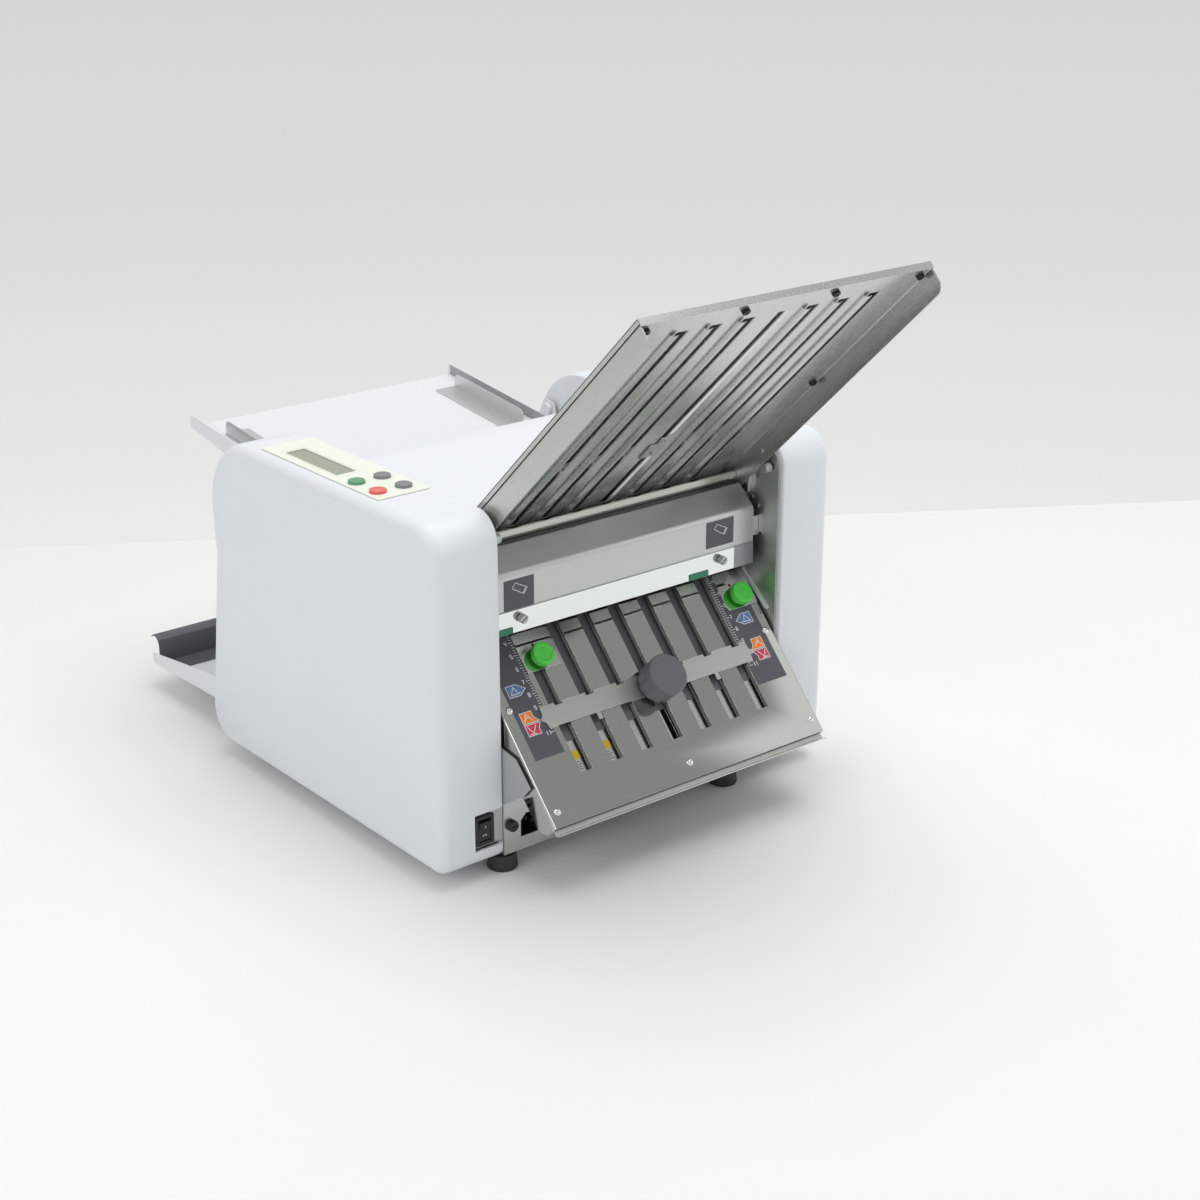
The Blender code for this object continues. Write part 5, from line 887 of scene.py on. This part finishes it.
def grip_knob(node, at, stud_depth):
    """Fluted grip that runs out below a smooth round crown."""
    radius, height, neck, lobes = 0.0206, 0.025, 0.0015, 12
    depth = 0.0013
    count = lobes * 6
    ring = circle(0, 0, 1, count)
    inner = radius - 0.35 * depth
    rings = []
    levels = [(0.0, 0.0), (0.0, neck)]
    for _, level in levels:
        rings.append([(u * 0.009, v * 0.009, level) for u, v in ring])
    foot = neck + 0.0008
    rings.append([(u * 0.96, v * 0.96, neck) for u, v in lobed(radius, lobes, depth)])
    rings.append([(u, v, foot) for u, v in lobed(radius, lobes, depth)])
    top = neck + height
    for share in (0.35, 0.62):
        rings.append([(u, v, neck + height * share) for u, v in lobed(radius, lobes, depth)])
    for share, fade in ((0.68, 0.75), (0.74, 0.3), (0.79, 0.0)):
        outline = lobed(inner + depth * 0.35, lobes, depth * fade)
        rings.append([(u, v, neck + height * share) for u, v in outline])
    edge = 0.0014
    for step in range(6):
        t = pi / 2 * step / 5
        reach = inner + 0.35 * depth - edge * (1 - cos(t))
        rings.append([(u * reach, v * reach, top - edge * (1 - sin(t))) for u, v in ring])
    rings.append([(u * inner * 0.8, v * inner * 0.8, top - 0.00012) for u, v in ring])
    knob = stand_in(node, loft(rings), at, KNOB_AND_SLOT_SHADE, smooth=50)
    stud = turned([(0, -stud_depth), (0.0024, -stud_depth), (0.0024, 0.0004), (0, 0.0004)], 24)
    extra(node + "_stud", node, stud, at, ZINC)
    return knob


def make_stop_knobs():
    back = -2 * SHEET - UPPER_GAP - SEAT_GAP
    low = -SHEET - UPPER_GAP / 2 - 0.0008
    at = UPPER @ Matrix.Translation((UPPER_MIDDLE, 0.096, back)) @ Matrix.Rotation(pi, 4, "Y")
    grip_knob("upper_stop_knob", at, low - back - SEAT_GAP)
    base = 0.0006 + 0.0016 + SEAT_GAP
    spot = Matrix.Translation((LOWER_MIDDLE, 0.098, base))
    grip_knob("lower_stop_knob", LOWER @ spot, base + SHEET + LOWER_GAP / 2)


LOWER_HALF = 0.1695
LOWER_LENGTH = 0.200
LOWER_MIDDLE = 0.003
LOWER_GAP = 0.0045
SLOT_LOW, SLOT_HIGH, SLOT_LEFT, SLOT_RIGHT = 0.042, 0.192, 0.0092, 0.00475
SCREW_PLACES = ((-0.160, 0.0146), (0.0006, 0.016), (0.160, 0.015), (0.160, 0.116), (-0.160, 0.118))


def pan_screw():
    """Domed screw head; make_lower_plate cuts its cross recess."""
    radius, height = 0.0037, 0.0021
    turns = [pi / 2 * k / 7 for k in range(8)]
    profile = [(0, 0)] + [(radius * cos(t), height * sin(t)) for t in turns[:-1]] + [(0, height)]
    return turned(profile, 40)


def make_lower_plate():
    """Upper sheet with its slots and flanges, the lips of the slots and five screws."""
    drop, bend = 0.027, 0.0020
    edge = LOWER_HALF - SHEET / 2
    level = -SHEET / 2
    path = ((-edge, -drop), (-edge, level), (edge, level), (edge, -drop))
    turn = Matrix(((1, 0, 0, 0), (0, 0, 1, 0), (0, 1, 0, 0), (0, 0, 0, 1)))
    body = moved(slab(bent_sheet(curved(path, bend, 6), SHEET), 0, LOWER_LENGTH), turn)
    plate = stand_in("lower_plate_top", body, LOWER, STEEL_LOWER, bevel=0.0002)
    slots = [slab(rectangle(x - SLOT_LEFT, x + SLOT_RIGHT, SLOT_LOW, SLOT_HIGH, 0.0012), -0.003, 0.005)
             for x in slot_centres(LOWER_MIDDLE)]
    cut(plate, together(*slots), LOWER)
    for side in (-1, 1):
        start = side * LOWER_HALF - 0.004
        chamfer = ((-0.002, -0.0165), (0.0105, -0.0285), (-0.002, -0.0285))
        cut(plate, moved(slab(chamfer, start, 0.008), SIDEWAYS), LOWER)
    lips = []
    for x in slot_centres(LOWER_MIDDLE):
        right = x + SLOT_RIGHT
        path = ((right + 0.0004, -SHEET), (right + 0.0004, -0.0029), (right - 0.0018, -0.0029))
        lips.append(moved(slab(bent_sheet(curved(path, 0.0004, 3), 0.0006), SLOT_LOW, SLOT_HIGH - SLOT_LOW), turn))
    # The lips take the darkened steel: painted shade inside the slots.
    extra("lower_slot_lips", "lower_plate_top", together(*lips), LOWER, STEEL_LIP_SHADE)
    back, skin = -SHEET - LOWER_GAP, 0.0001
    # Skins on the lower sheet inside the slots: painted shade, darkest from 0.083 up the slot with a lighter grey band
    # below it.
    for name, low, high, finish in (("deep", 0.083, SLOT_HIGH, DARK_SHEET), ("mid", 0.0745, 0.083, KNOB_AND_SLOT_SHADE)):
        painted_shade_floors = [slab(rectangle(x - SLOT_LEFT, x + SLOT_RIGHT, low, high), back, skin)
                  for x in slot_centres(LOWER_MIDDLE)]
        extra(f"lower_slot_{name}_floors", "lower_plate_bottom", together(*painted_shade_floors), LOWER, finish)
    for index, (x, v) in enumerate(SCREW_PLACES, start=1):
        at = LOWER @ Matrix.Translation((x, v, 0)) @ Matrix.Rotation(radians(20 + 31 * index), 4, "Z")
        screw = extra(f"plate_screw_{index}", "lower_plate_top", pan_screw(), at, ZINC)
        arms = [block((-0.0016, -0.0003, 0.0013), (0.0016, 0.0003, 0.003)),
                block((-0.0003, -0.0016, 0.0013), (0.0003, 0.0016, 0.003))]
        for arm in arms:
            cut(screw, arm, at)
    dress("lower_plate_bottom", STEEL_INNER, 0.0003)
    dress("lower_stop_bar", STEEL_BAR, 0.00025)
    ends = {"left": ((-0.1190, 0.0892), (-0.1190, 0.1118), (-0.1296, 0.1119), (-0.1306, 0.1035), (-0.1346, 0.0992),
                     (-0.1300, 0.0962), (-0.1286, 0.0892)),
            "right": ((0.1190, 0.0895), (0.1262, 0.0894), (0.1272, 0.0962), (0.1300, 0.0998), (0.1276, 0.1045),
                      (0.1272, 0.1118), (0.1190, 0.1118))}
    for name, outline in ends.items():
        extra(name + "_stop_bar_end", "lower_stop_bar", slab(outline, 0.00055, 0.0017), LOWER, STEEL_BAR, bevel=0.0002)


# Printed scales on the lower plate

DIGITS = {
    "0": ((0, 0, 1, 0), (1, 0, 1, 2), (1, 2, 0, 2), (0, 2, 0, 0)),
    "1": ((0.5, 0, 0.5, 2), (0.5, 2, 0.2, 1.6)),
    "2": ((0, 2, 1, 2), (1, 2, 1, 1), (1, 1, 0, 1), (0, 1, 0, 0), (0, 0, 1, 0)),
    "3": ((0, 2, 1, 2), (1, 2, 1, 0), (1, 0, 0, 0), (0.2, 1, 1, 1)),
    "4": ((0, 2, 0, 1), (0, 1, 1, 1), (1, 2, 1, 0)),
    "5": ((1, 2, 0, 2), (0, 2, 0, 1), (0, 1, 1, 1), (1, 1, 1, 0), (1, 0, 0, 0)),
    "6": ((1, 2, 0, 2), (0, 2, 0, 0), (0, 0, 1, 0), (1, 0, 1, 1), (1, 1, 0, 1)),
    "7": ((0, 2, 1, 2), (1, 2, 0.4, 0)),
    "8": ((0, 0, 1, 0), (1, 0, 1, 2), (1, 2, 0, 2), (0, 2, 0, 0), (0, 1, 1, 1)),
    "9": ((1, 1, 0, 1), (0, 1, 0, 2), (0, 2, 1, 2), (1, 2, 1, 0), (1, 0, 0, 0)),
}


def digits(text, x, v, size, level, thin=0.00005):
    """Plain numerals made of straight strokes."""
    strokes = []
    for place, digit in enumerate(text):
        left = x + place * size * 0.95
        for a, b, c, d in DIGITS[digit]:
            start = (left + a * size * 0.55, v + b * size * 0.55)
            end = (left + c * size * 0.55, v + d * size * 0.55)
            strokes.append(slab(stadium(start, end, size * 0.12, 3), level, thin))
    return strokes


# Fold signs: reach outwards from the inner edge of the printed plate, and place along the plate
SIGNS = {
    "blue": (((0.0088, 0.1340), (0.0170, 0.1282), (0.0298, 0.1283), (0.0298, 0.1403), (0.0178, 0.1404)),
             ((0.0268, 0.1306, 0.0218, 0.1382), (0.0268, 0.1306, 0.0158, 0.1314), (0.0190, 0.1325, 0.0218, 0.1382))),
    "orange": (((0.0095, 0.1004), (0.0286, 0.1004), (0.0286, 0.1122), (0.0146, 0.1122), (0.0143, 0.1058)),
               ((0.0262, 0.1022, 0.0218, 0.1104), (0.0218, 0.1104, 0.0172, 0.1028), (0.0242, 0.1062, 0.0192, 0.1066))),
    "red": (((0.0095, 0.0998), (0.0138, 0.0939), (0.0135, 0.0882), (0.0286, 0.0882), (0.0286, 0.0998)),
            ((0.0262, 0.0980, 0.0220, 0.0906), (0.0220, 0.0906, 0.0165, 0.0976), (0.0262, 0.0902, 0.0190, 0.0898))),
}


def label_sign(kind, edge, side, level):
    """Folded-sheet sign: a coloured field that points inwards, with a white edge and fold lines."""
    outline, strokes = SIGNS[kind]
    spots = [(edge + side * u, v, 0) for u, v in outline]
    area_sign = sum(a[0] * b[1] - b[0] * a[1] for a, b in zip(spots, spots[1:] + spots[:1]))
    if area_sign < 0:
        spots.reverse()
    white = [slab(rounded(spots), level, 0.00004)]
    for a, b, c, d in strokes:
        white.append(slab(stadium((edge + side * a, b), (edge + side * c, d), 0.0004, 3), level + 0.00008, 0.00004))
    return white, [slab(rounded(spots, 0.0007), level + 0.00004, 0.00004)]


def make_scales():
    """Dark printed plate on each side of the lower plate, with ticks, numerals and fold signs."""
    thin = 0.00025
    level = thin + 0.00002
    for name, left, right, side, anchor in (("left", -0.1575, -0.1241, -1, -0.1241), ("right", 0.1200, 0.1585, 1, 0.1222)):
        plate = slab(rectangle(left, right, 0.0652, 0.190, 0.0003), 0.00002, thin)
        extra(name + "_scale_plate", "lower_plate_top", plate, LOWER, LABEL)
        white = []
        edge = right - 0.0006 if side < 0 else left + 0.0006
        pitch = 0.00266
        for tick in range(39):
            along = 0.0866 + tick * pitch
            length = 0.0048 if tick % 5 == 0 else 0.0030
            ends = sorted((edge, edge + side * length))
            white.append(slab(rectangle(ends[0], ends[1], along - 0.0003, along + 0.0003), level, 0.00005))
            if tick % 5 == 0:
                number = str(11 - tick // 5)
                place = edge + side * 0.0062 - (0.0026 if side < 0 else 0)
                white += digits(number, place, along - 0.0019, 0.0034, level)
        extra(name + "_scale_ticks", "lower_plate_top", together(*white), LOWER, PRINT_WHITE_AND_LIGHT)
        for kind, finish in (("blue", PRINT_BLUE), ("orange", PRINT_ORANGE), ("red", PRINT_RED)):
            lines, field = label_sign(kind, anchor, side, level)
            extra(f"{name}_{kind}_sign_edge", "lower_plate_top", together(*lines), LOWER, PRINT_WHITE_AND_LIGHT)
            extra(f"{name}_{kind}_sign", "lower_plate_top", together(*field), LOWER, finish)
    back = -SHEET - LOWER_GAP
    slots = slot_centres(LOWER_MIDDLE)
    for index, x in enumerate(slots[:2], start=1):
        tab = slab(rectangle(x - 0.0068, x + 0.0014, 0.0558, 0.0640, 0.0012), back, 0.0002)
        extra(f"yellow_tab_{index}", "lower_plate_bottom", tab, LOWER, PRINT_YELLOW)
        ticks = []
        for tick in range(4):
            along = 0.0455 + tick * 0.0024
            length = 0.0052 if tick % 2 == 0 else 0.0034
            ticks.append(slab(rectangle(x - 0.0056, x - 0.0056 + length, along, along + 0.0007), back, 0.0001))
        extra(f"slot_ticks_{index}", "lower_plate_bottom", together(*ticks), LOWER, LABEL)


def make_brackets():
    """Polished slide plates with their stepped green knobs."""
    dress("left_slide_bracket", POLISHED, 0.0002)
    dress("right_slide_bracket", POLISHED, 0.0002)
    radius, height = 0.0116, 0.010
    base = 0.0006 + 0.0012
    profile = [(0, -base), (0.0022, -base), (0.0022, 0)]
    profile += [(0.0078, 0), (0.0078, 0.0030)] + arc(radius, 0.0030, 0.0008, 3, down=True)
    profile += arc(radius, height, 0.0010, 5)
    profile += [(0.0080, height)] + [(0.0076, height - 0.0003), (0.0072, height - 0.0006), (0, height - 0.0006)]
    for side, x in (("left", -0.1045), ("right", 0.1475)):
        at = LOWER @ Matrix.Translation((x, 0.158, base + SEAT_GAP))
        stand_in(side + "_green_knob", turned(profile, 64), at, GREEN)
        gate = slab(rectangle(-0.0004, 0.0004, -0.0052, 0.0052, 0.0003), height - 0.0006, 0.0003)
        extra(side + "_knob_mark", side + "_green_knob", gate, at, GREEN, bevel=0.0001)
        dot = turned([(0, 0), (0.0016, 0), (0.0016, 0.0002), (0, 0.0002)], 24)
        spot = Matrix.Translation((x + (-0.0012 if side == "left" else -0.0040), 0.1712, base + 0.00002))
        extra(side + "_bracket_dot", side + "_slide_bracket", dot, LOWER @ spot, DOT_RED)


# Frame, base and feet

def side_spot(y, z, out=0.0):
    """Place on the right side frame's inner face, looking towards -X."""
    return WORK @ Matrix.Translation((GAP_HALF - out, y, z)) @ Matrix.Rotation(-pi / 2, 4, "Y")


def make_frame():
    for node in ("left_side_frame", "right_side_frame"):
        dress(node, STEEL_FRAME, 0.0002)
    dress("base_frame", STEEL_BASE, 0.0003)
    extra("ear_bolt", "right_side_frame", hex_bolt(0.0048, 0.0016, 0.0026), side_spot(0.016, 0.3108), BOLT_BLACK)
    pin = [(0, 0), (0.0028, 0)] + arc(0.0028, 0.006, 0.0006) + [(0, 0.006)]
    extra("ear_pin", "right_side_frame", turned(pin, 32), side_spot(0.025, 0.325), ZINC)
    for index, (y, z) in enumerate(((0.0326, 0.2964), (0.0419, 0.2731), (0.0329, 0.266)), start=1):
        head = [(0, 0), (0.0026, 0)] + arc(0.0026, 0.0016, 0.0006) + [(0.0012, 0.0016), (0.0011, 0.0008), (0, 0.0008)]
        extra(f"frame_screw_{index}", "right_side_frame", turned(head, 28), side_spot(y, z), DARK_STEEL_AND_REFLECTION)
    latch = slab(rounded(((0.044, 0.276, 0.001), (0.053, 0.282, 0.001), (0.051, 0.301, 0.002),
                          (0.041, 0.298, 0.002)), steps=4), GAP_HALF - 0.0046, 0.0045)
    extra("latch_block", "right_side_frame", latch, across(0), STEEL_BASE, bevel=0.0004)
    # Black disc on the right side frame: painted shade standing for the dark inside of a hole.
    extra("frame_hole_shade", "right_side_frame", turned([(0, 0), (0.0017, 0), (0.0017, 0.0001), (0, 0.0001)], 20),
          side_spot(0.0288, 0.2375), BLACK)
    make_rail()
    arm = slab(((0.006, 0.054), (0.006, 0.112), (-0.018, 0.108), (-0.040, 0.086), (-0.0290, 0.0742), (-0.001, 0.0562)),
               -GAP_HALF - 0.0018, 0.0016)
    extra("left_frame_arm", "left_side_frame", arm, across(0), INNER_GREY)
    profile = [(0, -0.0172)] + arc(0.0147, -0.0172, 0.0018, 4, down=True)
    profile += [(0.0140, -0.0060), (0.0128, -0.0018), (0.008, -0.0018), (0.008, -0.0008), (0, -0.0008)]
    feet = (("front_left_foot", -0.165, 0.015), ("front_right_foot", 0.118, 0.018),
            ("rear_left_foot", -0.150, 0.370), ("rear_right_foot", 0.150, 0.370))
    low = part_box("front_left_foot")[0].z - ORIGIN.z
    shift = low + 0.0172
    for node, x, y in feet:
        stand_in(node, turned(profile, 48), WORK @ Matrix.Translation((x, y, shift)), RUBBER)


def make_rail():
    """Notched rail on the right side frame beside the lower plate."""
    start, end = Vector((0.0538, 0.1942)), Vector((0.0141, 0.1615))
    run = end - start
    length = run.length
    along = run / length
    square = Vector((-along.y, along.x))
    half = 0.0028
    tooth = 0.0024
    outline = [start + square * half]
    count = int(length / tooth)
    for index in range(count):
        here = start + along * (index * tooth)
        outline += [here + along * tooth * 0.15 - square * half, here + along * tooth * 0.35 - square * (half - 0.0011),
                    here + along * tooth * 0.75 - square * (half - 0.0011), here + along * tooth * 0.9 - square * half]
    outline += [end - square * half * 0.6, end + square * half * 0.4, end - along * 0.002 + square * half]
    flat = [(point.x, point.y) for point in outline]
    extra("side_rail", "right_side_frame", slab(flat, GAP_HALF - 0.0013, 0.0012), across(0), WHITE_SHEET)


# Feed table, guides and delivery tray

def make_tables():
    dress("feed_table", WHITE_SHEET, 0.0003)
    for name, start in (("left", -0.1688), ("right", 0.1687)):
        lining = slab(rectangle(0.004, 0.1865, -0.0226, -0.0113, 0.001), start, 0.0001)
        extra(name + "_table_lining", "feed_table", moved(lining, SIDEWAYS), TABLE, INNER_GREY)
    dress("delivery_tray", WHITE_SHEET, 0.0003)
    dress("delivery_stop", DARK_SHEET, 0.0002)
    dress("rear_cover", WHITE, 0.0008, 3)
    for name, side in (("left_pivot_bush", -1), ("right_pivot_bush", 1)):
        outer = COVER_INNER - SEAT_GAP
        inner = 0.170 - SHEET - SEAT_GAP
        head = 0.0065
        tip = inner - 0.004
        cap = [(head - 0.0009 * (1 - cos(t)), tip + 0.0009 * (1 - sin(t))) for t in (0, pi / 8, pi / 4, pi * 3 / 8, pi / 2)]
        profile = [(0, outer), (0.0035, outer), (0.0035, inner), (head, inner)] + cap
        profile += [(0.0036, tip), (0.0034, tip + 0.0007), (0, tip + 0.0007)]
        signed = [(radius, side * out) for radius, out in profile]
        stand_in(name, turned(signed, 40), axle(0, 0.369, 0.292), WHITE)


def make_rest():
    """Nodes that keep their CAD shape."""
    finishes = {
        "white_plastic": WHITE_SHEET, "brushed_steel": STEEL_GUIDE, "frame_steel": STEEL_FRAME,
        "polished_strip": POLISHED, "black_plastic": BLACK, "knob_grey": KNOB_AND_SLOT_SHADE, "dark_sheet": DARK_SHEET,
        "bright_green": GREEN, "rubber": RUBBER, "roller_rubber": ROLLER, "gear_plastic": GEAR,
        "motor_steel": DARK_STEEL_AND_REFLECTION, "zinc": ZINC,
    }
    for node, slot_name in SLOTS.items():
        if node not in DRESSED:
            dress(node, finishes[slot_name])


# Stage: floor, light and camera

def make_world():
    """Pale studio: light grey round the horizon, darker above it, lit again overhead."""
    world = bpy.data.worlds.new("studio")
    bpy.context.scene.world = world
    world.use_nodes = True
    tree = world.node_tree
    room = tree.nodes["Background"]
    place = tree.nodes.new("ShaderNodeTexCoord")
    parts = tree.nodes.new("ShaderNodeSeparateXYZ")
    tree.links.new(place.outputs["Generated"], parts.inputs["Vector"])
    height = tree.nodes.new("ShaderNodeMapRange")
    height.inputs["From Min"].default_value = -1
    tree.links.new(parts.outputs["Z"], height.inputs["Value"])
    ramp = tree.nodes.new("ShaderNodeValToRGB")
    tree.links.new(height.outputs["Result"], ramp.inputs["Fac"])
    tree.links.new(ramp.outputs["Color"], room.inputs["Color"])
    stops = ((0.0, 0.84), (0.33, 0.84), (0.41, 0.70), (0.50, 0.64), (0.58, 0.68), (0.70, 0.70), (0.755, 0.92),
             (0.795, 0.94), (0.811, 0.38), (0.92, 0.42), (1.0, 0.8))
    while len(ramp.color_ramp.elements) < len(stops):
        ramp.color_ramp.elements.new(0.5)
    for element, (place_share, grey) in zip(ramp.color_ramp.elements, stops):
        element.position = place_share
        element.color = (grey, grey, grey * 0.995, 1)
    room.inputs["Strength"].default_value = 1.0


def area(name, spot, target, width, tall, power, colour=(1, 1, 1)):
    lamp = bpy.data.lights.new(name, "AREA")
    lamp.shape = "RECTANGLE"
    lamp.size = width
    lamp.size_y = tall
    lamp.energy = power
    lamp.color = colour
    made = bpy.data.objects.new(name, lamp)
    bpy.context.scene.collection.objects.link(made)
    made.location = spot
    made.rotation_euler = (Vector(target) - Vector(spot)).to_track_quat("-Z", "Y").to_euler()
    return made


def make_stage():
    """Table top that ends behind the machine, and soft lamps."""
    make_world()
    first, second = Vector((-0.151, 0.938, 0)), Vector((1.259, 0.050, 0))
    along = (second - first).normalized()
    ahead = Vector((along.y, -along.x, 0))
    far = 7.0
    corners = [first - along * far, second + along * far, second + along * far + ahead * far,
               first - along * far + ahead * far]
    shape = slab([(p.x, p.y) for p in corners], -0.03, 0.03)
    mesh = bpy.data.meshes.new("floor")
    shape.to_mesh(mesh)
    shape.free()
    floor = bpy.data.objects.new("floor", mesh)
    bpy.context.scene.collection.objects.link(floor)
    mesh.materials.append(moulded("floor_white", (0.86, 0.875, 0.86), 0.7, grain=60, depth=0.0, vary=0.006))
    centre = (0, 0, 0.2)
    area("top_light", (0.4, -0.25, 2.6), centre, 2.2, 2.2, 38)
    area("right_light", (2.0, -1.5, 0.75), centre, 1.2, 0.6, 3)
    area("left_light", (-2.2, -0.6, 1.7), centre, 1.4, 1.4, 10)


def make_camera():
    lens = bpy.data.cameras.new("camera")
    lens.sensor_width = 36
    lens.lens = 36 * 2127.67 / 1200
    made = bpy.data.objects.new("camera", lens)
    bpy.context.scene.collection.objects.link(made)
    azimuth, fall = radians(50.836), radians(21.14)
    forward = Vector((cos(azimuth) * cos(fall), sin(azimuth) * cos(fall), -sin(fall)))
    made.location = ORIGIN + Vector((-1.2211, -1.4274, 0.9424))
    made.rotation_mode = "QUATERNION"
    made.rotation_quaternion = forward.to_track_quat("-Z", "Y")
    bpy.context.scene.camera = made


make_housings()
make_front_cover()
make_mode_plates()
make_panel()
make_power_entry()
make_upper_plate()
make_lower_plate()
make_stop_knobs()
make_scales()
make_brackets()
make_frame()
make_tables()
make_rest()
make_stage()
make_camera()
bpy.context.scene.view_settings.view_transform = "Standard"
